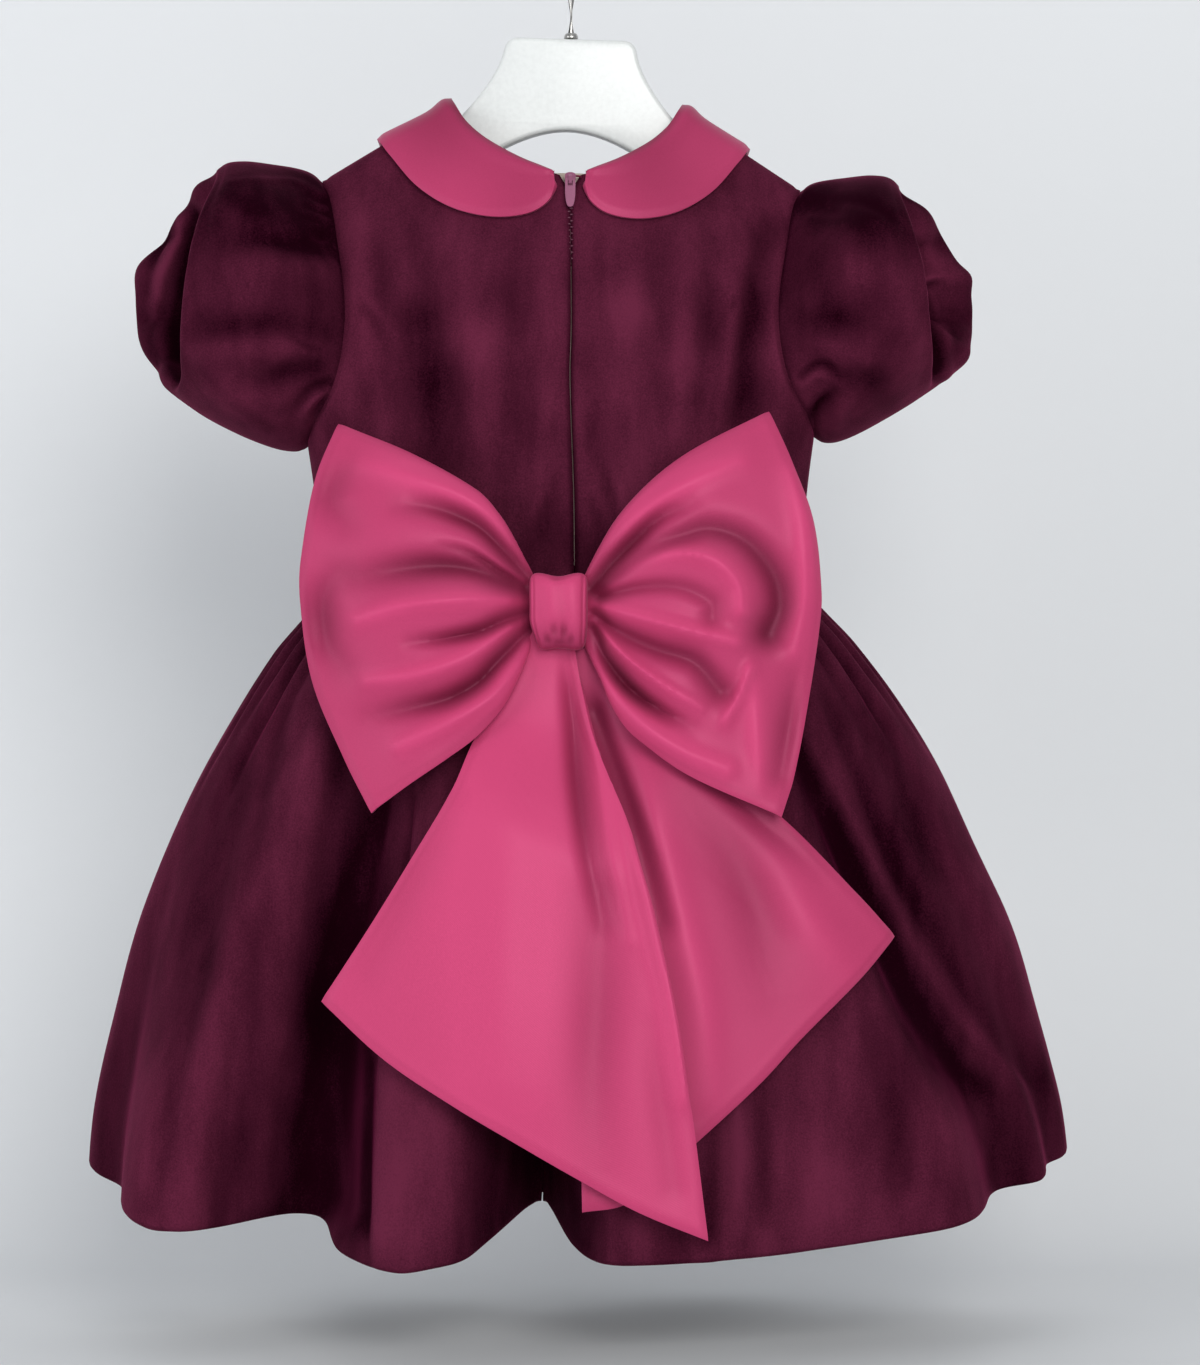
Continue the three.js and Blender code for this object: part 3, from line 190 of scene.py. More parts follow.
# Creases beyond the lip, on the lobe of the sleeve's front that shows from behind, as rows for relief
LOBE_CREASES = {
    "left": (
        (((-190, -161), (-192.5, -170), (-197, -186), (-204, -205)), (2.2, 4.5), (-2.5, -5, -3)),
        (((-183, -160), (-187, -182), (-190.5, -206), (-188, -232), (-183, -246)), (6, 4.5), (4, 7.5, 5)),
        (((-199, -160), (-203, -178), (-208, -196)), (2.6, 2.6), (1.5, 3, 1)),
        (((-201, -208), (-200, -222), (-194, -240)), (4, 4), (-1.5, -3, -1.5)),
    ),
    "right": (
        (((169, -195), (175, -192), (181, -190.5)), (1.8, 1.8), (3, 2.8, 0.6)),
        (((168, -191.5), (174, -188.5), (181, -187)), (1.9, 1.9), (-1.6, -2, -0.6)),
        (((173, -199), (176.5, -206), (181, -214)), (1.8, 1.8), (2.6, 3, 1)),
        (((167.5, -198), (170, -211), (173, -230), (176, -246)), (3.4, 3.4), (7, 8, 4)),
        (((177, -204), (181, -222), (182, -242)), (3, 3), (-2, -3, -1.5)),
        (((170, -168), (176, -178), (183, -186)), (5, 5), (-1, -2, -1)),
    ),
}
# The lip that the back of a sleeve ends in: its place along the sleeve, its rise and the drop behind it
LIP_PLACE = 0.66
LIP_RISE = 2.6
LIP_DROP = 7
CUFF_LONG = 11
CUFF_WALL = 2.4
CUFF_GAP = 1.9

# Skirt sections: half width and half depth at each height
SKIRT_SECTIONS = {
    "height": (-660, -590, -530, -490, -440, -400, -370, -356, WAIST_HEIGHT),
    "wide": (236.5, 232.5, 217, 204, 182.5, 160, 139.5, 127, WAIST_WIDTH),
    "deep": (111, 104, 97, 90, 81, 70, 61, 56, 49.7),
    "power": (2.1, 2.1, 2.1, 2.15, 2.2, 2.25, 2.3, 2.35, CHEST_POWER),
}
# Folds of the skirt. Turns are quarter turns from the centre back, to the right; before and after are
# the half widths on the left and right of a fold; depth is inwards at the hem; rise lifts the hem
FOLD_COLUMNS = ("waist", "hem", "before", "after", "depth", "starts", "rise")
SKIRT_FOLDS = (
    (0, -0.035, 0.055, 0.05, 58, 0.05, 20),
    (-0.29, -0.385, 0.1, 0.085, 44, 0.08, 8),
    (-0.4, -0.56, 0.12, 0.12, -16, 0.1, 0),
    (-0.16, -0.2, 0.06, 0.08, -9, 0.2, -3),
    (-0.8, -0.8, 0.09, 0.09, 10, 0.3, 0),
    (0.36, 0.68, 0.09, 0.06, 16, 0.06, 0),
    (0.27, 0.5, 0.09, 0.09, -9, 0.15, 0),
    (0.5, 0.86, 0.07, 0.05, 7, 0.06, 0),
    (1.25, 1.28, 0.09, 0.1, 26, 0.1, 4),
    (1.58, 1.62, 0.1, 0.08, 38, 0.08, 6),
    (1.44, 1.46, 0.09, 0.09, -8, 0.2, 0),
    (2.02, 2.04, 0.09, 0.1, 46, 0.08, 8),
    (2.4, 2.38, 0.09, 0.1, 36, 0.1, 6),
    (2.74, 2.75, 0.09, 0.09, 24, 0.12, 4),
)
CENTRE_VALLEY = -0.035
# Pleats at the waist seam: turn, half width in turns, share of the way down where they end, depth
WAIST_PLEATS = (
    (-0.93, 0.02, 0.3, 3), (-0.86, 0.018, 0.42, 4), (-0.77, 0.022, 0.3, 3.4), (-0.68, 0.02, 0.5, 4.4),
    (-0.6, 0.018, 0.3, 3), (-0.5, 0.022, 0.36, 3.6), (0.12, 0.02, 0.4, 3.6), (0.2, 0.018, 0.3, 3),
    (0.44, 0.02, 0.42, 4), (0.6, 0.018, 0.34, 3.4), (0.7, 0.022, 0.5, 4.2), (0.8, 0.018, 0.3, 3),
    (0.9, 0.02, 0.36, 3.4), (1.1, 0.02, 0.34, 3.2), (1.2, 0.022, 0.44, 4), (1.32, 0.018, 0.3, 3.2),
    (1.42, 0.02, 0.36, 3.4), (1.52, 0.022, 0.46, 4.2), (1.66, 0.018, 0.32, 3.2), (1.76, 0.02, 0.4, 3.8),
    (1.87, 0.018, 0.3, 3), (1.96, 0.022, 0.44, 4.4), (2.1, 0.018, 0.3, 3.2), (2.2, 0.02, 0.4, 3.6),
    (2.31, 0.018, 0.32, 3.2), (2.45, 0.022, 0.46, 4.2), (2.56, 0.018, 0.3, 3), (2.66, 0.02, 0.38, 3.6),
    (2.8, 0.02, 0.4, 3.8), (2.9, 0.018, 0.3, 3),
)

# Bow: outlines as across and height, from the knot outwards or from the knot downwards
WINGS = {
    "left": {
        "top": ((-15.5, -338.5), (-23.4, -322.4), (-30.7, -310.1), (-41.7, -297.8), (-72.2, -281), (-106.8, -266.4)),
        "end": ((-106.8, -266.4), (-116.3, -291.9), (-123.2, -331), (-123.2, -349.3), (-117.7, -385.7),
                (-102.7, -421.2), (-89.9, -444.9)),
        "bottom": ((-15.5, -368.5), (-23.4, -387.1), (-29.8, -398), (-41.7, -410.8), (-54, -419.9),
                   (-72.2, -432.2), (-89.9, -444.9)),
        "creases": (
            (((-18.8, -338.5), (-29.3, -327.5), (-40.6, -316.2), (-52, -310.3), (-63.4, -307), (-77, -306.6)),
             (3, 4.2, 1.5), (5, 6.4, 1)),
            (((-20.2, -342.5), (-31.6, -335.7), (-45.2, -327.5), (-58.8, -324)), (2, 2), (2.4, 3.2, 0.5)),
            (((-19.7, -345.3), (-31.6, -339.8), (-43, -335.3), (-56.5, -333.4), (-72.5, -334.4), (-95.2, -338)),
             (3.6, 3.4, 2.4), (4, 6, 2)),
            (((-106.5, -337.5), (-112.5, -349), (-111, -367), (-104.3, -378.4)), (7, 8), (1.4, 3.6, 1.4)),
            (((-99.7, -283), (-109.7, -301), (-102, -313.5)), (8, 8), (0.8, 2.4, 1)),
            (((-19.3, -354.4), (-29.3, -358), (-40.6, -363), (-54.3, -366.2), (-72.5, -368.4)), (3, 3.4), (4, 5.4, 1)),
            (((-17, -360.7), (-24.7, -368), (-33, -377), (-41.5, -386.2), (-54.3, -393.4), (-72.5, -398),
              (-90.6, -401.6)), (2.8, 3.4, 1.8), (4, 6.2, 1)),
            (((-93, -286), (-68, -293.5), (-45.2, -303.5), (-31.6, -317), (-22.5, -330.7)), (8, 6), (-1.4, -3.6, -1)),
            (((-28, -349), (-50, -349), (-76, -352), (-96, -358)), (5, 4), (-2, -3.6, -1.6)),
            (((-27, -362), (-46, -375), (-70, -383), (-92, -386)), (4, 4), (-2, -3, -1.4)),
            (((-15.6, -368), (-24.7, -381.6), (-36, -393.4), (-54.3, -404.4), (-77, -414.8)), (5, 4), (-1.6, -4, -1.6)),
        ),
    },
    "right": {
        "top": ((5.5, -339), (12.1, -325.1), (19.4, -312.9), (29.4, -301), (43, -288.3), (58.1, -278.2),
                (91.8, -260.9)),
        "end": ((91.8, -260.9), (101.8, -284.2), (111.8, -312.9), (115.5, -345.2), (114.1, -363.9),
                (108.6, -397.6), (101.8, -429.9), (96.3, -446.7)),
        "bottom": ((5.5, -368.5), (13, -383.9), (18, -396.2), (25.7, -407.6), (35.8, -416.2), (49.4, -425.8),
                   (65.8, -434), (96.3, -446.7)),
        "creases": (
            (((9.8, -343), (18.4, -333), (29.8, -321.6), (41.2, -311.6), (54.8, -305.7)), (4.4, 3.4), (4, 6.4, 1)),
            (((11.2, -345.3), (23, -336.2), (36.6, -327), (50.3, -320.7), (63.9, -317), (79.8, -322.5), (92, -337.5),
              (94.8, -351), (90.3, -363.4)), (4.6, 4, 1.8), (3, 4.6, 6)),
            (((13.9, -347.5), (32, -343.4), (50.3, -343.4), (63.9, -349.8), (64.8, -357)), (2.6, 2.6, 1.8), (3.6, 3, 2.4)),
            (((10.7, -354.8), (23, -363.4), (39, -370.7), (57, -377), (68.4, -389.8)), (2.6, 3, 2.2), (4, 5, 4.4)),
            (((10.7, -361.6), (16.6, -375.3), (27.5, -389), (41.2, -399), (54.8, -405.7)), (3.4, 4), (5, 8.6, 1)),
            (((102.5, -385.3), (99.3, -408), (95.7, -428.4)), (5, 6), (1, 2.8, 2)),
            (((18.4, -341.2), (34.4, -330.7), (50.3, -327.5), (66.2, -331.6), (76.2, -342), (78, -353.4)),
             (4, 4), (-1, -4.2, -3)),
            (((10.7, -351.2), (27.5, -355.7), (50.3, -362), (75.3, -368)), (3.6, 3.6), (-1.6, -4, -2)),
            (((10.7, -358), (23, -372.5), (41.2, -386.6), (59.4, -397.5)), (2.4, 2.6), (-2, -3.4, -1)),
            (((81.2, -380.7), (76.6, -392), (70.7, -402.5)), (3.6, 2.4), (-2.4, -3.4, -1.6)),
            (((100.3, -289.8), (106.2, -317), (107, -344.4), (102.5, -371.6)), (5, 5), (-1, -2.6, -1.4)),
            (((84.3, -389.8), (85.3, -412.5), (86.6, -430.7)), (5, 5), (-1.6, -2.6, -1)),
            (((20, -322), (34, -308), (52, -296), (76, -285)), (7, 5), (-1, -3.4, -1.6)),
            (((11.2, -368), (18.4, -387.5), (32, -404.4), (50.3, -417), (70.7, -425.3)), (5, 4), (-1.6, -4.2, -2)),
        ),
    },
}
# Depth of both wings, towards the back of the dress: share outwards, at the top, middle and bottom
WING_STAND = {
    "share": (0, 0.3, 0.65, 1),
    "top": (74, 78, 76, 66),
    "middle": (76, 92, 95, 80),
    "bottom": (74, 90, 96, 95),
}
KNOT = {"across": -5, "height": -354, "front": -93, "back": -56.6, "half_wide": 13.6, "half_tall": 18}
# Dents of the knot's front: across and height from -1 to 1, half width, half height, depth
KNOT_DENTS = (
    (-0.14, -0.5, 0.16, 0.2, 1.7), (0.2, -0.52, 0.12, 0.2, 1.7), (-0.45, -0.72, 0.14, 0.14, 1.3),
    (0.46, -0.74, 0.12, 0.16, 1.2), (0.02, -0.82, 0.3, 0.12, 1.2), (-0.1, 0.86, 0.2, 0.1, 0.8),
)
TAILS = {
    "front": {
        "left": ((-17, -363), (-30, -391), (-43, -411.6), (-52.6, -433.7), (-70.7, -464.9), (-88.3, -493.7),
                 (-111.7, -529.2)),
        "right": ((1, -363), (8.8, -406.2), (17.5, -428.3), (27, -450.3), (34.2, -472.2), (39.5, -490.4),
                  (49.7, -540.9), (54.9, -577.1), (61.9, -633.4)),
        "bottom": ((-111.7, -529.2), (-82.5, -554.5), (-51.6, -574.3), (-24, -590.2), (3.2, -605.6),
                   (30.4, -620.3), (61.9, -633.4)),
        "creases": (
            (((-0.8, -376), (1.4, -403), (3.2, -430), (7.7, -461), (14.8, -492)), (8, 4), (4, 7.4, 2)),
            (((13.9, -483), (13.9, -519), (11.7, -563.5), (13.9, -600)), (12, 12), (2.6, 4, 1.4)),
            (((-53, -438.7), (-75, -483), (-90, -515)), (9, 9), (1, 2, 1)),
            (((1.9, -378.6), (9.4, -407.6), (15.2, -438.7), (20.6, -470), (27.3, -501)), (3.6, 3.6), (0, -1.8, -1)),
            (((2.8, -380.8), (11.7, -406), (23.7, -438.7), (31.7, -467.7), (38.4, -496.7), (46, -528), (52, -570)),
             (3, 5), (-2, -4.6, -2.6)),
            (((-20, -405), (-27, -440), (-28.4, -483), (-30.7, -560)), (18, 20), (-1, -3.6, -2.4)),
            (((36, -540), (42, -575), (47, -610)), (5, 7), (0.6, 1.8, 1.4)),
        ),
        "stand": 22,
        "tone": 0.92,
        "root": 78,
    },
    "back": {
        "left": ((-9, -363), (-3, -420), (2.6, -484), (4.6, -560), (5.9, -622)),
        "right": ((6.5, -363), (27, -390), (52, -414), (97, -448), (133, -484), (149, -502)),
        "bottom": ((5.9, -622), (26, -618), (58, -591), (86, -566), (104.5, -547), (133, -520), (149, -502)),
        "creases": (
            (((11.7, -401), (19.2, -421), (27.3, -444), (34, -466), (41, -492)), (6, 8), (5, 6, 3)),
            (((31.7, -425), (45, -474), (58.5, -528), (62, -570)), (8, 9), (-1, -3.6, -1.4)),
            (((58.5, -438.7), (83, -483), (92, -528)), (13, 13), (1.6, 3.6, 1)),
            (((60, -424), (84, -446), (112, -470)), (9, 6), (3.4, 4, 1)),
            (((92, -470), (112, -500), (124, -516)), (9, 9), (-1, -2, -1)),
        ),
        "stand": 12.5,
        # painted shade: the back tail, which lies behind the front tail, is given a darker base tone
        "tone": 0.72,
        "root": 71,
    },
}

TAPE = {"half_wide": 9, "thick": 1, "top": -147, "bottom": -332}

# Hanger
WIRE_RADIUS = 1.9
HOOK_RADIUS = 18
HOOK_TIP_ANGLE = -35
HOOK_TURN_ANGLE = -55
BOARD_TOP = -78
BOARD_THICK = 9
BOARD_EDGE = 2.6
BOARD_LEAN = 1.8


# Sizes and colours that a user would change

def length_property(name, description, default):
    return bpy.props.FloatProperty(
        name=name, description=description, default=default, min=0, subtype="DISTANCE", unit="LENGTH"
    )


def colour_property(name, description, default):
    return bpy.props.FloatVectorProperty(
        name=name, description=description, default=default, size=3, min=0, max=1, subtype="COLOR"
    )


class DressSizes(bpy.types.PropertyGroup):
    velvet_wall: length_property("Velvet wall", "Thickness of the velvet", 0.0016)
    satin_wall: length_property("Satin wall", "Thickness of the two satin layers and their stiffening", 0.0022)
    seam_dip: length_property("Seam dip", "How deep a seam draws the cloth in", 0.0011)
    seam_reach: length_property("Seam reach", "How far from a seam the cloth is drawn in", 0.0022)
    hem_turn: length_property("Hem turn", "Radius of the soft turned edge of the hem", 0.0024)
    hem_depth: length_property("Hem depth", "How far the hem is turned up inside", 0.014)
    floor_drop: length_property("Floor drop", "Clear height between the dress and the floor", 0.05)


class DressColours(bpy.types.PropertyGroup):
    # The velvet's light and dark colours are its lit and its shaded tone: painted shade in folds, creases and seams,
    # and the pile's lie, move the velvet between them
    velvet_light: colour_property("Velvet, light", "Velvet with its pile towards the light", (0.115, 0.0165, 0.042))
    velvet_dark: colour_property("Velvet, dark", "Velvet with its pile away from the light", (0.009, 0.0004, 0.003))
    velvet_sheen: colour_property("Velvet sheen", "Tint of the pile's edge light", (0.6, 0.05, 0.2))
    # The satin's light and dark colours are lit satin and satin in painted shade, deep in its folds
    satin_light: colour_property("Satin, light", "Lit satin", (0.53, 0.053, 0.155))
    satin_dark: colour_property("Satin, dark", "Satin deep in its folds", (0.1, 0.006, 0.022))
    satin_gloss: colour_property("Satin gloss", "Tint of the satin's soft reflection", (1.0, 0.4, 0.6))
    tape: colour_property("Zip tape", "Woven tape beside the zip", (0.45, 0.37, 0.31))
    coil: colour_property("Zip coil", "Moulded coil of the zip", (0.1, 0.018, 0.042))
    enamel: colour_property("Enamel", "Lacquer on the slider and its pull", (0.25, 0.062, 0.135))
    paint: colour_property("Hanger paint", "Paint on the hanger's board", (0.68, 0.7, 0.69))
    nickel: colour_property("Nickel", "Brushed metal of the hook", (0.5, 0.49, 0.47))
    room: colour_property("Room", "Floor and wall", (0.74, 0.755, 0.77))


def sizes():
    return bpy.context.scene.dress_sizes


def colours():
    return bpy.context.scene.dress_colours


# Curves and tables

def mix(a, b, share):
    return a + (b - a) * share


def smooth_step(low, high, value):
    share = np.clip((value - low) / (high - low), 0, 1)
    return share * share * (3 - 2 * share)


def bump(away):
    """A smooth hump that is 1 in its middle."""
    return np.exp(-(away**2))


def curve_value(places, values, at):
    """The value at one or many places on a smooth curve through values at rising places."""
    places, values, at = (np.asarray(x, float) for x in (places, values, at))
    k = np.clip(np.searchsorted(places, at) - 1, 0, len(places) - 2)
    each = np.arange(len(places))
    low, high = np.maximum(each - 1, 0), np.minimum(each + 1, len(places) - 1)
    slope = (values[high] - values[low]) / (places[high] - places[low])
    span = places[k + 1] - places[k]
    t = np.clip((at - places[k]) / span, 0, 1)
    rise = values[k + 1] - values[k]
    bend = t * (1 - t) * ((1 - t) * (slope[k] * span - rise) - t * (slope[k + 1] * span - rise))
    return values[k] + rise * t + bend


def table_value(table, key, column, at):
    return curve_value(table[key], table[column], at)


def outline(points):
    """A smooth curve through flat points, as a function from 0 at its start to 1 at its end."""
    points = np.array(points, float)
    places = np.concatenate([[0], np.cumsum(np.hypot(*np.diff(points, axis=0).T))])
    return lambda share: np.stack([curve_value(places, points[:, k], share * places[-1]) for k in (0, 1)], -1)


def joined(first, second, meet):
    """Two curves one after the other, which meet at the given share."""
    return lambda share: np.where(
        share[..., None] < meet, first(share / meet), second((share - meet) / (1 - meet))
    )


def straight(start, end):
    return lambda share: np.stack([mix(start[k], end[k], share) for k in (0, 1)], -1)


def patch(edges, u, v):
    """Flat points inside four edges: u runs along the top and bottom edges, v along the left and right ones."""
    none = np.zeros_like(u)
    top, bottom, left, right = edges["top"](u), edges["bottom"](u), edges["left"](v), edges["right"](v)
    across, down = u[..., None], v[..., None]
    corner = [edges[name](none + share) for name in ("top", "bottom") for share in (0, 1)]
    bilinear = mix(mix(corner[0], corner[1], across), mix(corner[2], corner[3], across), down)
    return mix(top, bottom, down) + mix(left, right, across) - bilinear


def drift(points, scale, seed):
    """A slow uneven change over a surface, from about -1 to 1, the same each time for one seed."""
    draw = np.random.default_rng(seed)
    total = 0
    for _ in range(7):
        way = draw.normal(size=3)
        way *= 2 * math.pi / (np.linalg.norm(way) * scale * draw.uniform(0.7, 1.6))
        total = total + np.sin(points @ way + draw.uniform(0, 2 * math.pi))
    return total / 3.5


def hang(points):
    """The dress's own slight lean and widening to one side."""
    x, y, z = points[..., 0], points[..., 1], points[..., 2]
    widen = table_value(ASKEW, "height", "widen", z)
    lean = table_value(ASKEW, "height", "lean", z)
    hung = x * (1 - np.sign(x) * widen)
    return np.stack([hung, y, z - lean * hung], -1)


# Surfaces as grids of points

def shares(columns, rows, ease=1.0):
    """Two grids of shares, from left to right and from top to bottom. An ease over 1 crowds the top rows."""
    return np.meshgrid(np.linspace(0, 1, columns + 1), np.linspace(0, 1, rows + 1) ** ease)


def relief(rows, x, z, sharp=2.0):
    """The height that listed creases give at places on a panel, outwards.

    A row is the line of a crease, seen from the back, its half widths and its depths at the start, in
    the middle and at the end. The first half width is on the right of a line that runs down, above one
    that runs to the right and below one that runs to the left. A third number is how many times wider
    the crease is at its end. A trough's depth is over 0, a ridge's under.
    """
    lift = np.zeros_like(x)
    share = np.linspace(0, 1, 61)
    for line, halves, depths in rows:
        path = outline(line)(share)
        way = np.gradient(path, axis=0)
        way /= np.linalg.norm(way, axis=-1, keepdims=True)
        apart_x, apart_z = x[..., None] - path[:, 0], z[..., None] - path[:, 1]
        near = np.argmin(apart_x**2 + apart_z**2, axis=-1)[..., None]
        apart_x, apart_z = (np.take_along_axis(apart, near, -1)[..., 0] for apart in (apart_x, apart_z))
        near = near[..., 0]
        side = way[near, 0] * apart_z - way[near, 1] * apart_x
        ahead = way[near, 0] * apart_x + way[near, 1] * apart_z
        beyond = np.where(near == 0, np.minimum(ahead, 0), np.where(near == len(share) - 1, np.maximum(ahead, 0), 0))
        wider = mix(1, halves[2], share[near]) if len(halves) > 2 else 1
        half = wider * np.where(side > 0, halves[0], halves[1])
        away = np.hypot(side / half, beyond / (wider * max(halves[:2])))
        lift -= curve_value((0, 0.5, 1), depths, share[near]) * np.exp(-(away**sharp))
    return lift


def steps_along(points, axis):
    """How far each point is from the start of its row or column, along the cloth."""
    length = np.linalg.norm(np.diff(points, axis=axis), axis=-1)
    start = np.zeros_like(np.take(length, [0], axis=axis))
    return np.concatenate([start, np.cumsum(length, axis=axis)], axis=axis)


def normals(points, inside, ring=False):
    """Unit normals of a grid of points, facing away from a point inside."""
    padded = np.concatenate([points[:, -2:-1], points, points[:, 1:2]], axis=1) if ring else points
    along = np.gradient(padded, axis=1)
    along = along[:, 1:-1] if ring else along
    normal = np.cross(along, np.gradient(points, axis=0))
    normal /= np.maximum(np.linalg.norm(normal, axis=-1, keepdims=True), 1e-9)
    facing = np.sign((normal * (points - np.array(inside, float))).sum())
    return normal * facing


def lifted(points, inside, height, ring=False):
    return points + normals(points, inside, ring) * np.asarray(height)[..., None]


def edge_roll(points, names):
    """How near each point is to the named edges, from 1 on the edge to 0 inside the panel."""
    reach = sizes().seam_reach / MM
    across, down = steps_along(points, 1), steps_along(points, 0)
    away = {
        "left": across,
        "right": across[:, -1:] - across,
        "top": down,
        "bottom": down[-1:] - down,
    }
    return np.clip(sum(bump(away[name] / reach) for name in names), 0, 1)


def grid_object(name, points, inside, ring=False, nap=None):
    """A mesh of quads through a grid of points, with its cloth's own map and a tone attribute, which carries the
    cloth's tone and the painted shade and light of its folds and creases.
    """
    rows, columns = points.shape[0] - 1, points.shape[1] - 1
    across, down = steps_along(points, 1) * MM, steps_along(points, 0) * MM
    nap = np.full(points.shape[:2], 0.5) if nap is None else np.clip(nap, 0, 1)
    bm = bmesh.new()
    cloth_map = bm.loops.layers.uv.new("cloth")
    # this layer holds each point's tone and its painted shade and light
    pile = bm.verts.layers.float.new("nap")
    bmesh.ops.create_grid(bm, x_segments=columns, y_segments=rows, size=1, calc_uvs=True)
    place = {}
    for vert in bm.verts:
        c = round((vert.co.x + 1) / 2 * columns)
        r = round((1 - vert.co.y) / 2 * rows)
        place[vert.index] = (r, c)
        vert.co = points[r, c] * MM
        vert[pile] = nap[r, c]
    for face in bm.faces:
        for loop in face.loops:
            r, c = place[loop.vert.index]
            loop[cloth_map].uv = (across[r, c], -down[r, c])
    if ring:
        bmesh.ops.remove_doubles(bm, verts=bm.verts, dist=1e-6)
    bmesh.ops.recalc_face_normals(bm, faces=bm.faces)
    centre = Vector(inside) * MM
    facing = sum(f.normal.dot(f.calc_center_median() - centre) * f.calc_area() for f in bm.faces)
    if facing < 0:
        bmesh.ops.reverse_faces(bm, faces=bm.faces)
    return mesh_object(name, bm)


def mesh_object(name, bm, sharp=None):
    """The object of a finished bmesh, shaded smooth but for edges sharper than an angle in degrees."""
    mesh = bpy.data.meshes.new(name)
    bm.to_mesh(mesh)
    bm.free()
    mesh.shade_smooth()
    if sharp:
        mesh.set_sharp_from_angle(angle=math.radians(sharp))
    piece = bpy.data.objects.new(name, mesh)
    bpy.context.scene.collection.objects.link(piece)
    return piece


def thicken(piece, thickness, edge_share=None, edge_points=None):
    """Gives a sheet its wall, inwards, thinner towards the edges where edge_share is given."""
    solid = piece.modifiers.new("wall", "SOLIDIFY")
    solid.thickness = thickness
    solid.offset = -1
    solid.use_quality_normals = True
    if edge_share is not None:
        group = piece.vertex_groups.new(name="wall")
        co = np.zeros(len(piece.data.vertices) * 3)
        piece.data.vertices.foreach_get("co", co)
        weight = edge_points(co.reshape(-1, 3) / MM)
        for index, value in enumerate(weight):
            group.add([index], float(value), "REPLACE")
        solid.vertex_group = "wall"
        solid.thickness_vertex_group = edge_share
    return solid


def round_rim(piece, width):
    rim = piece.modifiers.new("rim", "BEVEL")
    rim.width = width
    rim.segments = 2
    rim.limit_method = "ANGLE"
    rim.angle_limit = math.radians(50)
    rim.profile = 0.5
    return rim


def finish_piece(piece, node, material, body="dress"):
    piece.data.materials.append(material)
    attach(piece, body)
    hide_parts(node)
    return piece


# Materials

def add_node(tree, kind, settings=None, inputs=None):
    made = tree.nodes.new(kind)
    for name, value in (settings or {}).items():
        setattr(made, name, value)
    for name, value in (inputs or {}).items():
        if isinstance(value, bpy.types.NodeSocket):
            tree.links.new(value, made.inputs[name])
        else:
            made.inputs[name].default_value = value
    return made


def ramp(tree, value, stops):
    """A colour ramp through (place, colour) stops."""
    made = add_node(tree, "ShaderNodeValToRGB", None, {"Fac": value})
    band = made.color_ramp
    band.elements[0].position, band.elements[1].position = stops[0][0], stops[-1][0]
    band.elements[0].color, band.elements[1].color = (*stops[0][1], 1), (*stops[-1][1], 1)
    for position, colour in stops[1:-1]:
        band.elements.new(position).color = (*colour, 1)
    return made.outputs["Color"]


def math_node(tree, operation, first, second=0.0, clamp=False):
    made = add_node(tree, "ShaderNodeMath", {"operation": operation, "use_clamp": clamp}, {0: first, 1: second})
    return made.outputs[0]


def mixed_colour(tree, share, first, second):
    made = add_node(tree, "ShaderNodeMix", {"data_type": "RGBA"}, {0: share, 6: first, 7: second})
    return made.outputs[2]


def new_group(name, inputs, outputs):
    """An empty shader node group with named number inputs and outputs."""
    group = bpy.data.node_groups.new(name, "ShaderNodeTree")
    for label, default in inputs:
        group.interface.new_socket(label, in_out="INPUT", socket_type="NodeSocketFloat").default_value = default
    for label in outputs:
        group.interface.new_socket(label, in_out="OUTPUT", socket_type="NodeSocketFloat")
    return group, add_node(group, "NodeGroupInput"), add_node(group, "NodeGroupOutput")


def object_noise(tree, scale, detail=2.0, stretch=(1, 1, 1)):
    place = add_node(tree, "ShaderNodeTexCoord").outputs["Object"]
    mapped = add_node(tree, "ShaderNodeMapping", None, {"Vector": place, "Scale": stretch})
    noise = add_node(
        tree, "ShaderNodeTexNoise", None, {"Vector": mapped.outputs[0], "Scale": scale, "Detail": detail}
    )
    return noise.outputs["Fac"]


def uneven_group():
    """Slow patches and a fine grain, for cloth that is brushed one way and the other, and for worn paint."""
    inputs = [("Patch scale", 14.0), ("Grain scale", 900.0), ("Patch share", 0.6)]
    group, given, out = new_group("Uneven tone", inputs, ["Tone", "Grain"])
    slow = object_noise(group, given.outputs["Patch scale"], 3.0, (1, 1, 0.55))
    fine = object_noise(group, given.outputs["Grain scale"], 2.0)
    slow_part = math_node(group, "MULTIPLY", slow, given.outputs["Patch share"])
    rest = math_node(group, "SUBTRACT", 1.0, given.outputs["Patch share"])
    fine_part = math_node(group, "MULTIPLY", fine, rest)
    total = math_node(group, "ADD", slow_part, fine_part)
    group.links.new(total, out.inputs["Tone"])
    group.links.new(fine, out.inputs["Grain"])
    return group


def weave_group():
    """Fine diagonal threads on the cloth's own map."""
    inputs = [("Threads", 2600.0), ("Slant", 0.6)]
    group, given, out = new_group("Weave", inputs, ["Height"])
    cloth = add_node(group, "ShaderNodeUVMap", {"uv_map": "cloth"}).outputs[0]
    parts = add_node(group, "ShaderNodeSeparateXYZ", None, {0: cloth})
    slanted = math_node(group, "MULTIPLY", parts.outputs["X"], given.outputs["Slant"])
    across = math_node(group, "ADD", slanted, parts.outputs["Y"])
    turned = math_node(group, "MULTIPLY", across, given.outputs["Threads"])
    wave = math_node(group, "SINE", turned)
    along = math_node(group, "MULTIPLY", parts.outputs["X"], given.outputs["Threads"])
    cross = math_node(group, "SINE", along)
    part = math_node(group, "MULTIPLY", cross, 0.4)
    total = math_node(group, "ADD", wave, part)
    group.links.new(total, out.inputs["Height"])
    return group


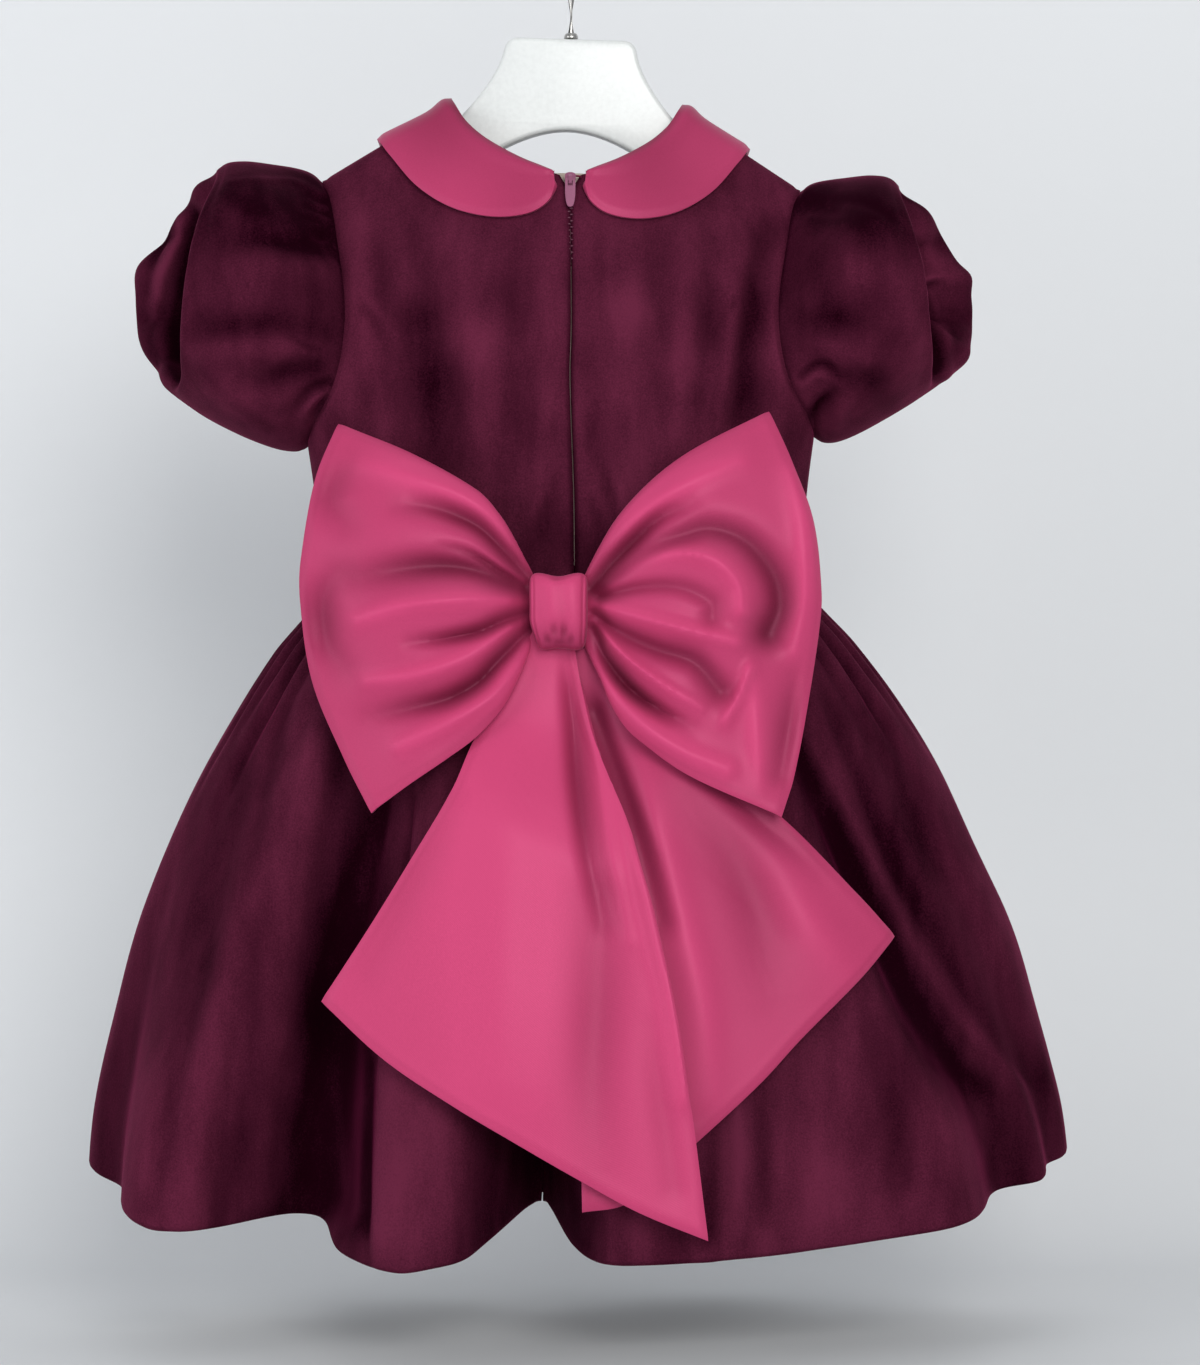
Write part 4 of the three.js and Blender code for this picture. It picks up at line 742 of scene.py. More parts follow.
def group_node(tree, name, inputs=None):
    return add_node(tree, "ShaderNodeGroup", {"node_tree": bpy.data.node_groups[name]}, inputs)


def principled(name, values):
    """A new material and its shader, with uniform values on the shader's own sockets."""
    material = bpy.data.materials.new(name)
    material.use_nodes = True
    tree = material.node_tree
    shader = tree.nodes["Principled BSDF"]
    for socket, value in values.items():
        shader.inputs[socket].default_value = value
    return material, tree, shader


def bump_node(tree, shader, height, strength, distance):
    made = add_node(
        tree, "ShaderNodeBump", None, {"Height": height, "Strength": strength, "Distance": distance}
    )
    tree.links.new(made.outputs["Normal"], shader.inputs["Normal"])


def tone_and_shade_value(tree):
    # the attribute that holds each piece's tone and its painted shade and light
    return add_node(tree, "ShaderNodeAttribute", {"attribute_name": "nap"}).outputs["Fac"]


def velvet_material():
    tone = colours()
    material, tree, shader = principled("Velvet", {
        "Roughness": 0.85,
        "Specular IOR Level": 0.05,
        "Specular Tint": (*tone.velvet_sheen, 1),
        "Sheen Weight": 0.28,
        "Sheen Roughness": 0.34,
        "Sheen Tint": (*tone.velvet_sheen, 1),
    })
    uneven = group_node(tree, "Uneven tone", {"Patch scale": 26.0, "Grain scale": 1300.0, "Patch share": 0.62})
    brushed = math_node(tree, "SUBTRACT", object_noise(tree, 95.0, 3.0, (1, 1, 0.28)), 0.5)
    patches = math_node(tree, "SUBTRACT", uneven.outputs["Tone"], 0.5)
    grain = math_node(tree, "SUBTRACT", uneven.outputs["Grain"], 0.5)
    marks = math_node(tree, "ADD", math_node(tree, "MULTIPLY", brushed, 0.7), patches)
    marks = math_node(tree, "ADD", math_node(tree, "MULTIPLY", grain, 0.45), marks)
    # the tone attribute carries the pile's lie and painted shade in folds, creases and seams; the brushed marks,
    # patches and grain are random tone
    nap = math_node(tree, "ADD", tone_and_shade_value(tree), math_node(tree, "MULTIPLY", marks, 0.75), clamp=True)
    middle = tuple(mix(a, b, 0.4) for a, b in zip(tone.velvet_dark, tone.velvet_light))
    colour = ramp(tree, nap, [(0.0, tone.velvet_dark), (0.5, middle), (1.0, tone.velvet_light)])
    tree.links.new(colour, shader.inputs["Base Color"])
    bump_node(tree, shader, uneven.outputs["Grain"], 0.35, 0.0005)
    return material


def satin_material():
    tone = colours()
    material, tree, shader = principled("Satin", {
        "Specular IOR Level": 0.3,
        "Specular Tint": (*tone.satin_gloss, 1),
        "Sheen Weight": 0.12,
        "Sheen Roughness": 0.4,
        "Sheen Tint": (*tone.satin_gloss, 1),
        "Anisotropic": 0.3,
    })
    uneven = group_node(tree, "Uneven tone", {"Patch scale": 9.0, "Grain scale": 1500.0, "Patch share": 0.55})
    patches = math_node(tree, "MULTIPLY", math_node(tree, "SUBTRACT", uneven.outputs["Tone"], 0.5), 0.35)
    # the tone attribute carries painted shade in the folds and painted light on the ridges; the patches are random tone
    share = math_node(tree, "ADD", tone_and_shade_value(tree), patches, clamp=True)
    colour = ramp(tree, share, [(0.0, tone.satin_dark), (1.0, tone.satin_light)])
    tree.links.new(colour, shader.inputs["Base Color"])
    rough = math_node(tree, "ADD", math_node(tree, "MULTIPLY", uneven.outputs["Grain"], 0.12), 0.36)
    tree.links.new(rough, shader.inputs["Roughness"])
    weave = group_node(tree, "Weave", {"Threads": 9000.0, "Slant": 0.6})
    bump_node(tree, shader, weave.outputs["Height"], 0.08, 0.0001)
    return material


def tape_material():
    material, tree, shader = principled("Zip tape", {"Roughness": 0.8, "Sheen Weight": 0.2})
    weave = group_node(tree, "Weave", {"Threads": 6000.0, "Slant": 0.2})
    lit = colours().tape
    shade = tuple(value * 0.7 for value in lit)
    share = math_node(tree, "ADD", math_node(tree, "MULTIPLY", weave.outputs["Height"], 0.25), 0.6, clamp=True)
    tree.links.new(ramp(tree, share, [(0.0, shade), (1.0, lit)]), shader.inputs["Base Color"])
    bump_node(tree, shader, weave.outputs["Height"], 0.3, 0.0002)
    return material


def plain_material(name, colour, roughness, metallic, coat=0.0, grain=(30.0, 700.0), depth=0.1):
    """Paint, enamel, moulded plastic or metal: one colour, uneven in tone, gloss and surface."""
    material, tree, shader = principled(name, {"Metallic": metallic, "Coat Weight": coat, "Coat Roughness": 0.2})
    uneven = group_node(
        tree, "Uneven tone", {"Patch scale": grain[0], "Grain scale": grain[1], "Patch share": 0.6}
    )
    shade = tuple(value * 0.86 for value in colour)
    tree.links.new(ramp(tree, uneven.outputs["Tone"], [(0.3, shade), (0.62, colour)]), shader.inputs["Base Color"])
    rough = math_node(tree, "ADD", math_node(tree, "MULTIPLY", uneven.outputs["Tone"], 0.16), roughness - 0.08)
    tree.links.new(rough, shader.inputs["Roughness"])
    bump_node(tree, shader, uneven.outputs["Grain"], depth, 0.0002)
    return material


def finish(name):
    """The material of that name, made when it is first asked for."""
    tone = colours()
    made = bpy.data.materials.get(name)
    if made:
        return made
    makers = {
        "Velvet": velvet_material,
        "Satin": satin_material,
        "Zip tape": tape_material,
        "Zip coil": lambda: plain_material("Zip coil", tone.coil, 0.45, 0.0),
        "Enamel": lambda: plain_material("Enamel", tone.enamel, 0.34, 0.15, 0.5, (120.0, 1500.0)),
        "White paint": lambda: plain_material("White paint", tone.paint, 0.36, 0.0, 0.25, (16.0, 420.0), 0.06),
        "Nickel": lambda: plain_material("Nickel", tone.nickel, 0.3, 1.0, 0.0, (60.0, 1800.0), 0.12),
    }
    return makers[name]()


# Bodice

def shoulder_line(across):
    return NECK_POINT_HEIGHT - (across - NECK_POINT) * SHOULDER_SLOPE


def bodice_depth(across, height):
    """How far the bodice's cloth stands from the middle plane, at a place on its front or back."""
    drop = np.maximum(0, shoulder_line(np.abs(across)) - height)
    edge = np.minimum(drop, SHOULDER_ROUND)
    over = np.sqrt(SHOULDER_ROUND**2 - (SHOULDER_ROUND - edge) ** 2)
    fall = np.maximum(over + BACK_FALL * drop, 1e-3)
    half = table_value(SECTION_WIDTH, "height", "half", height)
    share = np.minimum(1, np.abs(across) / half)
    around = np.maximum(CHEST_DEPTH * (1 - share**CHEST_POWER) ** (1 / CHEST_POWER), 1e-3)
    return (fall**-4 + around**-4) ** -0.25


def bodice_edges(neck):
    shoulder = straight((NECK_POINT, NECK_POINT_HEIGHT), (SHOULDER_TIP, SHOULDER_TIP_HEIGHT))
    return {
        "top": joined(outline(neck), shoulder, NECK_SHARE),
        "bottom": lambda u: np.stack([WAIST_WIDTH * np.sin(u * math.pi / 2), np.full_like(u, WAIST_HEIGHT)], -1),
        "left": straight((0, neck[0][1]), (0, WAIST_HEIGHT)),
        "right": joined(outline(ARMHOLE), outline(SIDE_SEAM), ARMHOLE_SHARE),
    }


def bodice_points(edges, u, v, facing):
    """Points of the bodice: u is -1 and 1 at the armholes and 0 at the centre."""
    flat = patch(edges, np.abs(u), v)
    on_side = (np.abs(u) == 1) & (v >= ARMHOLE_SHARE)
    depth = np.where(on_side, 0, bodice_depth(flat[..., 0], flat[..., 1]))
    return np.stack([np.sign(u) * flat[..., 0], facing * (SEAM / 2 + depth), flat[..., 1]], -1)


CHEST = (0, 0, -240)
# Creases of the bodice, as rows for relief
BODICE_BACK_CREASES = (
    (((-92.5, -168), (-88.7, -194), (-89.7, -222)), (5, 5), (0.6, 1.3, 0.4)),
    (((-101.8, -161), (-101.8, -189), (-102.7, -213)), (6, 6), (-0.6, -1.1, -0.4)),
    (((-73.8, -161), (-71, -189), (-67.7, -213)), (8, 8), (0.4, 1.3, 1)),
    (((-67.7, -217), (-65.4, -241), (-60.7, -269), (-56, -292)), (13, 13), (2, 3.7, 1.4)),
    (((-98, -210), (-91, -219), (-86.4, -229)), (3, 3), (1.4, 1.2, 0.3)),
    (((-95, -207), (-88, -217), (-82, -229)), (3, 3), (-1, -1, -0.3)),
    (((-46.7, -200), (-44, -232), (-42, -270)), (9, 9), (-0.6, -1.4, -0.6)),
    (((-26, -180), (-24, -230), (-27, -285)), (8, 8), (0.4, 1.2, 0.6)),
    (((-12, -190), (-11, -250), (-13, -285)), (5, 5), (-0.4, -1, -0.4)),
    (((-110, -272), (-96, -290), (-84, -318)), (9, 9), (1.6, 1.8, 0.6)),
    (((81.5, -185), (78.3, -208), (73.6, -245), (70.8, -269)), (4.5, 5), (-0.8, -1.9, -1)),
    (((95.5, -171), (88.5, -194), (86.2, -213), (81.5, -236), (79, -262)), (8, 7), (1.6, 3.9, 2)),
    (((77.3, -207), (76, -211)), (1.6, 1.6), (1.3, 1.5, 1)),
    (((102.5, -178), (97.9, -203), (96.9, -222), (100, -245)), (4, 4), (-1, -1.5, -0.8)),
    (((67.5, -161), (66, -208), (60.5, -255)), (6, 6), (0.6, 1.6, 0.8)),
    (((55.9, -175), (54, -222), (51, -269)), (6, 6), (-0.6, -1.5, -0.6)),
    (((45.6, -175), (43.5, -222), (42.8, -264)), (5, 5), (0.6, 1.3, 0.6)),
    (((26, -180), (27, -230), (25, -280)), (7, 7), (-0.4, -1.1, -0.4)),
    (((14, -281), (19.5, -300), (22.3, -313)), (2.6, 2.6), (0.8, 2.2, 0.8)),
    (((9.4, -301), (13.9, -313), (15, -322)), (2.2, 2.2), (1, 1.9, 0.6)),
    (((17, -284), (24, -301), (28, -315)), (2.6, 2.6), (-0.6, -1.3, -0.5)),
    (((-6.6, -290), (-11.8, -308), (-14, -320)), (2.6, 2.6), (0.8, 2.2, 0.8)),
    (((-11, -290), (-17, -308), (-20, -318)), (2.6, 2.6), (-0.4, -1.2, -0.4)),
    (((-7, -262), (-9, -272), (-9, -280)), (2, 2), (0.6, 1.2, 0.3)),
    (((8, -262), (9.5, -272), (9, -280)), (2, 2), (0.6, 1.4, 0.3)),
    (((108, -262), (104, -290), (98, -320)), (8, 8), (0.6, 1.6, 0.6)),
)
BODICE_FRONT_CREASES = (
    (((-88, -175), (-84, -215), (-80, -262)), (8, 9), (1.2, 2.8, 1)),
    (((-100, -170), (-97, -210), (-100, -245)), (4.5, 4.5), (-0.8, -1.4, -0.6)),
    (((-60, -190), (-57, -240), (-54, -300)), (9, 9), (0.6, 1.8, 1)),
    (((-36, -205), (-36, -260), (-32, -318)), (7, 7), (-0.4, -1.4, -0.6)),
    (((-8, -215), (-6, -270), (-9, -325)), (8, 8), (0.4, 1.3, 0.8)),
    (((20, -212), (21, -262), (17, -322)), (7, 7), (-0.4, -1.3, -0.5)),
    (((46, -196), (44, -246), (47, -310)), (9, 9), (0.8, 2.1, 1)),
    (((72, -170), (74, -222), (68, -286)), (10, 12), (1.4, 3.4, 1.2)),
    (((96, -176), (92, -205), (95, -240)), (4, 4), (-0.6, -1.4, -0.6)),
    (((108, -266), (98, -290), (88, -322)), (8, 8), (1.6, 1.9, 0.6)),
    (((-110, -268), (-102, -292), (-96, -320)), (8, 8), (1.2, 1.6, 0.6)),
)


# Places where the velvet is painted lighter or darker, partly for the pile's lie and partly as painted shade in its
# creases: across, height, half width, half height, change
BODICE_PILE_AND_SHADE = (
    (-78, -235, 26, 45, -0.1), (-48, -200, 18, 40, 0.06), (84, -215, 12, 46, -0.14), (84, -262, 14, 26, -0.16),
    (-62, -250, 16, 40, -0.16), (-98, -180, 12, 40, 0.06), (-20, -325, 40, 18, -0.18), (30, -325, 34, 14, -0.18),
)


def pile_and_shade_at(places, x, z):
    return sum(change * bump((x - across) / wide) * bump((z - height) / tall)
               for across, height, wide, tall, change in places)


def zip_line(z):
    return table_value(ZIP_LINE, "height", "across", z)


def bodice_back(side, word):
    edges = bodice_edges(BACK_NECK)
    u, v = shares(64, 92, 1.5)
    points = bodice_points(edges, side * u, v, BACK)
    flat = patch(edges, u, v)
    # the folded edges along the zip part into a narrow mouth at the neck
    height = points[..., 2]
    mouth = ZIP_MOUTH * smooth_step(ZIP_TOP - 6, -146, height)
    lap = np.where(side == LEFT, -0.7, 0.35)
    edge = np.where(mouth > lap, np.maximum(mouth, lap), lap)
    near = bump(flat[..., 0] / 9)
    points[..., 0] += near * (side * edge + zip_line(height))
    points = hang(points)
    fade = smooth_step(0, 0.12, v) * smooth_step(1.0, 0.95, u)
    creased = relief(BODICE_BACK_CREASES, points[..., 0], points[..., 2])
    lift = (creased + drift(points, 60, 3) * 0.5) * fade
    dip = sizes().seam_dip / MM
    lift -= dip * edge_roll(points, ("right", "bottom"))
    zip_edge = bump(steps_along(points, 1) / 1.6)
    lift -= 1.3 * zip_edge
    lift += np.where(side == LEFT, 0.8, 0) * bump(steps_along(points, 1) / 6) * smooth_step(-160, -180, points[..., 2])
    lift *= smooth_step(1.0, 0.985, u)
    # painted shade: the velvet is darker in the troughs of its creases, along the zip's folded edge and at the armhole
    # and side seam, and lighter on the ridges
    nap = 0.66 + 0.12 * creased + 0.08 * drift(points, 34, 8) + pile_and_shade_at(BODICE_PILE_AND_SHADE, points[..., 0], points[..., 2])
    nap -= 0.35 * zip_edge + 0.2 * edge_roll(points, ("right",))
    points = lifted(points, CHEST, lift)
    piece = grid_object("dress_" + word, points, CHEST, nap=nap)
    thicken(piece, sizes().velvet_wall)
    return finish_piece(piece, "bodice_back_" + word, finish("Velvet"))


def bodice_front():
    edges = bodice_edges(FRONT_NECK)
    u, v = shares(120, 84, 1.5)
    points = hang(bodice_points(edges, 2 * u - 1, v, FRONT))
    fade = smooth_step(0, 0.12, v) * smooth_step(1, 0.93, np.abs(2 * u - 1))
    creased = relief(BODICE_FRONT_CREASES, points[..., 0], points[..., 2])
    lift = (creased + drift(points, 60, 5) * 0.5) * fade
    lift -= sizes().seam_dip / MM * edge_roll(points, ("left", "right", "bottom"))
    lift *= smooth_step(1.0, 0.985, np.abs(2 * u - 1))
    # painted shade: darker in the troughs of the creases, lighter on their ridges
    nap = 0.64 + 0.12 * creased + 0.08 * drift(points, 46, 12)
    points = lifted(points, CHEST, lift)
    piece = grid_object("dress_front", points, CHEST, nap=nap)
    thicken(piece, sizes().velvet_wall)
    return finish_piece(piece, "bodice_front", finish("Velvet"))


# Sleeves

def armhole_points(side, turn):
    """The armhole's edge as a ring: from the shoulder tip down the back, round the underarm, up the front."""
    down = np.where(turn < 0.5, turn * 2, 2 - turn * 2) * ARMHOLE_SHARE
    facing = np.where(turn < 0.5, BACK, FRONT)
    edges = bodice_edges(BACK_NECK)
    points = bodice_points(edges, np.full_like(turn, side), down, facing)
    points[..., 0] -= side * ARMHOLE_TUCK
    points[..., 1] *= smooth_step(0, 0.01, down)
    return points


def ring_points(value, side, turn):
    """Points round a sleeve, where value gives each of the ring table's columns."""
    angle = turn * 2 * math.pi
    mean = (value("top") + value("bottom") + value("back") + value("front")) / 4
    twice = (value("top") + value("bottom") - value("back") - value("front")) / 4
    upright = (value("top") - value("bottom")) / 2 * np.cos(angle)
    level = (value("back") - value("front")) / 2 * np.sin(angle)
    out = mean + upright + level + twice * np.cos(2 * angle)
    return np.stack([side * out, -value("deep") * np.sin(angle), value("height") + value("tall") * np.cos(angle)], -1)


def fold_lift(creases, turn, along):
    """The height that a list of lengthwise creases gives round a sleeve, outwards."""
    lift = np.zeros_like(turn)
    for at, half, start, end, depth in creases:
        away = (turn - at + 0.5) % 1 - 0.5
        here = smooth_step(start - 0.06, start + 0.04, along) * smooth_step(end, end * 0.35 + start * 0.65, along)
        if end >= 1:
            here = smooth_step(start, 0.5 * (start + 1), along)
        lift -= depth * bump(away / half) * here
    return lift


def sleeve(side, word):
    turn, along = shares(180, 130)
    points = ring_points(lambda name: table_value(SLEEVE_RINGS, "along", name, along), side, turn)
    start = ring_points(lambda name: SLEEVE_RINGS[name][0], side, turn)
    points += (armhole_points(side, turn) - start) * (1 - smooth_step(0, 0.4, along))[..., None]
    points = hang(points)
    behind = smooth_step(0.0, 0.05, turn) * smooth_step(0.52, 0.44, turn)
    creased = relief(SLEEVE_CREASES[word], points[..., 0], points[..., 2]) * behind
    creased *= smooth_step(LIP_PLACE, LIP_PLACE - 0.06, along)
    lobe = relief(LOBE_CREASES[word], points[..., 0], points[..., 2])
    creased += lobe * smooth_step(LIP_PLACE - 0.04, LIP_PLACE + 0.06, along)
    lift = fold_lift(SLEEVE_FOLDS[word], turn, along) + 0.7 * creased
    lift += drift(points, 50, 20 + side) * 0.7 * smooth_step(0, 0.2, along)
    wander = LIP_PLACE + 0.012 * np.sin(turn * 19 + side)
    lift += behind * LIP_RISE * bump((along - wander) / np.where(along < wander, 0.04, 0.016))
    lift -= behind * LIP_DROP * bump((along - wander - 0.05) / np.where(along < wander + 0.05, 0.018, 0.06))
    lift -= sizes().seam_dip / MM * edge_roll(points, ("top",))
    lift = lift * smooth_step(0, 0.04, along) - 0.6 * bump(along / 0.015)
    inside = (side * 150, 0, -200)
    # painted shade: the velvet is darkest on top, where it faces up, and lighter where it faces down, as the light
    # falls; it is darker in the folds and creases and at the armhole seam
    upwards = normals(points, inside, ring=True)[..., 2]
    nap = 0.46 - 0.44 * smooth_step(0.0, 0.7, upwards) + 0.07 * drift(points, 30, 31 + side)
    nap += 0.09 * creased + 0.04 * lift - 0.2 * edge_roll(points, ("top",))
    nap += 0.16 * smooth_step(0.0, -0.7, upwards)
    # painted light along the lip's crest and painted shade in the drop behind it
    nap += behind * (0.2 * bump((along - wander) / 0.01) - 0.55 * bump((along - wander - 0.05) / 0.05))
    points = lifted(points, inside, lift, ring=True)
    points[:, -1] = points[:, 0]
    piece = grid_object("puff_" + word, points, inside, ring=True, nap=nap)
    thicken(piece, sizes().velvet_wall)
    return finish_piece(piece, "sleeve_" + word, finish("Velvet"))


def cuff(side, word):
    turn, along = shares(150, 10)
    last = {name: values[-1] for name, values in SLEEVE_RINGS.items()}
    shift = CUFF_GAP + CUFF_LONG * along

    def value(name):
        if name in ("top", "back", "bottom", "front"):
            return last[name] - shift
        if name in ("tall", "deep"):
            return last[name] + CUFF_WALL / 2
        return last[name]

    points = hang(ring_points(value, side, turn))
    middle = (side * (last["back"] - CUFF_LONG), 0, last["height"])
    gathers = 0.5 * np.sin(turn * 2 * math.pi * 34) * (1 - along * 0.5)
    points = lifted(points, middle, gathers, ring=True)
    points[:, -1] = points[:, 0]
    # painted shade: the band, inside the sleeve's mouth, is painted darker, and darker still in the troughs of its
    # gathers
    piece = grid_object("band_" + word, points, middle, ring=True, nap=0.3 + 0.3 * gathers)
    thicken(piece, CUFF_WALL * MM)
    return finish_piece(piece, "cuff_" + word, finish("Velvet"))


# Skirt

def signed_power(value, exponent):
    return np.sign(value) * np.abs(value) ** exponent


def skirt_points(turn, v):
    """Points of the skirt: turn in quarter turns from the centre back, v from the waist to the hem."""
    angle = turn * math.pi / 2
    hem = mix(HEM_HEIGHT_SIDE, HEM_HEIGHT_BACK, np.abs(np.cos(angle)) ** 1.2)
    inwards, rise = np.zeros_like(turn), np.zeros_like(turn)
    for row in SKIRT_FOLDS:
        fold = dict(zip(FOLD_COLUMNS, row))
        away = (turn - mix(fold["waist"], fold["hem"], v) + 6) % 4 - 2
        shape = bump(away / np.where(away < 0, fold["before"], fold["after"]))
        grown = np.maximum(0, (v - fold["starts"]) / (1 - fold["starts"])) ** 0.85
        inwards += fold["depth"] * shape * grown
        steep = np.where(away < 0, fold["before"], 0.5 * fold["after"])
        rise += fold["rise"] * bump(away / steep) * v * v
    height = mix(WAIST_HEIGHT - SEAM, hem + rise, v)
    wide, deep, power = (table_value(SKIRT_SECTIONS, "height", name, height) for name in ("wide", "deep", "power"))
    x = wide * signed_power(np.sin(angle), 2 / power)
    y = -deep * signed_power(np.cos(angle), 2 / power)
    out = np.stack([x / wide**2, y / deep**2], -1)
    out /= np.linalg.norm(out, axis=-1, keepdims=True)
    return np.stack([x - out[..., 0] * inwards, y - out[..., 1] * inwards, height], -1), inwards


def pleat_lift(turn, v):
    lift = np.zeros_like(turn)
    for at, half, end, depth in WAIST_PLEATS:
        away = (turn - mix(at, at * 1.02, v) + 6) % 4 - 2
        lift -= depth * bump(away / (half * (1 + 1.5 * v))) * smooth_step(end, end * 0.15, v)
    return lift


def turned_hem(points, inside, ring=False):
    """Rows added below the last one, which turn the hem in softly and run a little way up inside."""
    radius, depth = sizes().hem_turn / MM, sizes().hem_depth / MM
    down = points[-1] - points[-3]
    down /= np.linalg.norm(down, axis=-1, keepdims=True)
    inwards = -normals(points, inside, ring)[-1]
    rows = []
    for step in range(1, 7):
        angle = math.pi * step / 6
        rows.append(points[-1] + down * radius * math.sin(angle) + inwards * radius * (1 - math.cos(angle)))
    for step in range(1, 4):
        rows.append(rows[5] - down * depth * step / 3)
    return np.concatenate([points, np.array(rows)])


SKIRT_MIDDLE = (0, 0, -500)
# Creases of the skirt, as rows for relief
SKIRT_BACK_CREASES = (
    (((-86, -439), (-94, -471), (-101, -498), (-107, -529), (-106, -556), (-107.6, -588), (-107.6, -622)),
     (5, 6, 2.6), (5, 10, 13)),
    (((-71, -448), (-74.3, -484), (-78.8, -520), (-83.3, -556), (-85, -592), (-86, -632)),
     (16, 2.2), (-2.4, -5, -5)),
    (((-71.6, -439), (-74.7, -466), (-78, -500)), (2, 2.2), (3, 4.4, 2)),
    (((-90.5, -560), (-92, -596), (-92.5, -634)), (2.4, 4), (2, 4, 4)),
    (((-138, -426), (-155, -507), (-168, -583), (-174, -632)), (8, 6), (-1, -3, -3)),
    (((-150, -430), (-168, -507), (-182, -583), (-190, -625)), (5, 8), (1, 2.4, 3)),
    (((-121, -394), (-128, -484), (-138, -552), (-143.6, -622)), (10, 10), (-1.5, -3.4, -3)),
    (((-103, -400), (-108, -430), (-113, -460)), (5, 5), (2.5, 3, 1)),
    (((-134, -400), (-142, -440), (-152, -490)), (5, 5), (2.4, 2.6, 0.6)),
    (((-112, -374), (-118, -400), (-124, -430)), (4, 4), (-1.5, -2.4, -0.6)),
    (((-52, -452), (-55, -500), (-57, -560), (-58, -634)), (10, 10), (-1, -2.4, -2)),
    (((-34, -540), (-36, -590), (-36, -640)), (8, 8), (1, 2, 2)),
    (((105, -414), (118, -441), (133.6, -475), (146, -504), (158, -531), (173.7, -556), (190, -573)),
     (3, 7, 1.4), (6, 14, 5)),
    (((107.5, -405), (131, -454), (149, -491), (165, -522), (187, -552)), (7, 2.4), (-3, -5, -3)),
    (((119.7, -396), (149, -471), (178, -522), (198, -552), (219, -574)), (10, 3), (2, 4.4, 2.4)),
    (((64, -588), (63, -610), (62.5, -634)), (4, 5), (3, 5, 5)),
    (((74.7, -570), (75.4, -600), (75.6, -632)), (4, 4), (-2, -3.4, -3)),
    (((85, -565), (87, -595), (88, -628)), (4, 4), (2, 3.6, 3)),
    (((108, -560), (112, -590), (113, -622)), (13, 10), (-1, -3, -3)),
    (((140, -545), (146, -580), (150, -612)), (8, 8), (2, 4, 3)),
    (((166, -572), (176, -594), (184, -606)), (9, 7), (-1, -2.6, -2)),
    (((34, -612), (33, -626), (32, -642)), (8, 8), (-1, -2, -2)),
    (((10, -612), (9, -626), (8, -642)), (6, 6), (1, 2.4, 2.4)),
    (((96, -376), (101, -396), (108, -420)), (4, 4), (2.4, 3, 1)),
    (((120, -380), (132, -410), (146, -440)), (6, 5), (-1.4, -2.6, -1)),
    (((138, -400), (158, -440), (176, -480)), (6, 6), (1.4, 2.6, 1)),
)
SKIRT_FRONT_CREASES = (
    (((-150, -400), (-166, -470), (-182, -540), (-196, -606)), (9, 6), (1.6, 3.6, 3)),
    (((-124, -380), (-136, -450), (-146, -530), (-154, -620)), (10, 9), (-1.4, -3.4, -3)),
    (((-96, -372), (-106, -440), (-112, -530), (-120, -630)), (6, 11), (3, 8, 9)),
    (((-76, -390), (-82, -450), (-88, -540), (-92, -636)), (12, 3), (-2, -4, -4)),
    (((-40, -360), (-46, -440), (-50, -540), (-52, -640)), (10, 9), (2, 5, 6)),
    (((-14, -380), (-14, -450), (-16, -540), (-16, -640)), (11, 10), (-1.6, -3.4, -3.4)),
    (((16, -366), (20, -440), (24, -540), (28, -640)), (5, 10), (2.4, 6.4, 8)),
    (((38, -376), (44, -450), (48, -540), (52, -640)), (9, 3), (-2, -3.6, -3.4)),
    (((70, -364), (78, -440), (84, -530), (92, -634)), (8, 8), (2, 4.6, 5)),
    (((98, -380), (108, -450), (118, -530), (126, -628)), (10, 9), (-1.6, -3.2, -3)),
    (((122, -386), (138, -450), (152, -530), (164, -616)), (5, 9), (3, 7, 7)),
    (((152, -420), (172, -490), (190, -560), (204, -598)), (9, 7), (-1, -2.8, -2.4)),
)
# Lighter and darker patches on the back of the skirt, partly the pile's lie and partly painted shade in its deep folds:
# across, height, half width, half height, change
SKIRT_PILE_AND_SHADE = (
    (-190, -560, 22, 60, 0.02), (-100, -560, 16, 80, -0.25), (-60, -620, 12, 40, -0.06), (-150, -500, 40, 80, -0.16),
    (150, -520, 34, 46, -0.26), (-120, -590, 14, 36, 0.1), (140, -450, 30, 34, -0.12),
    (70, -600, 60, 40, 0.16), (190, -590, 20, 30, 0.06), (95, -400, 22, 26, -0.12), (-100, -400, 30, 30, -0.1),
)


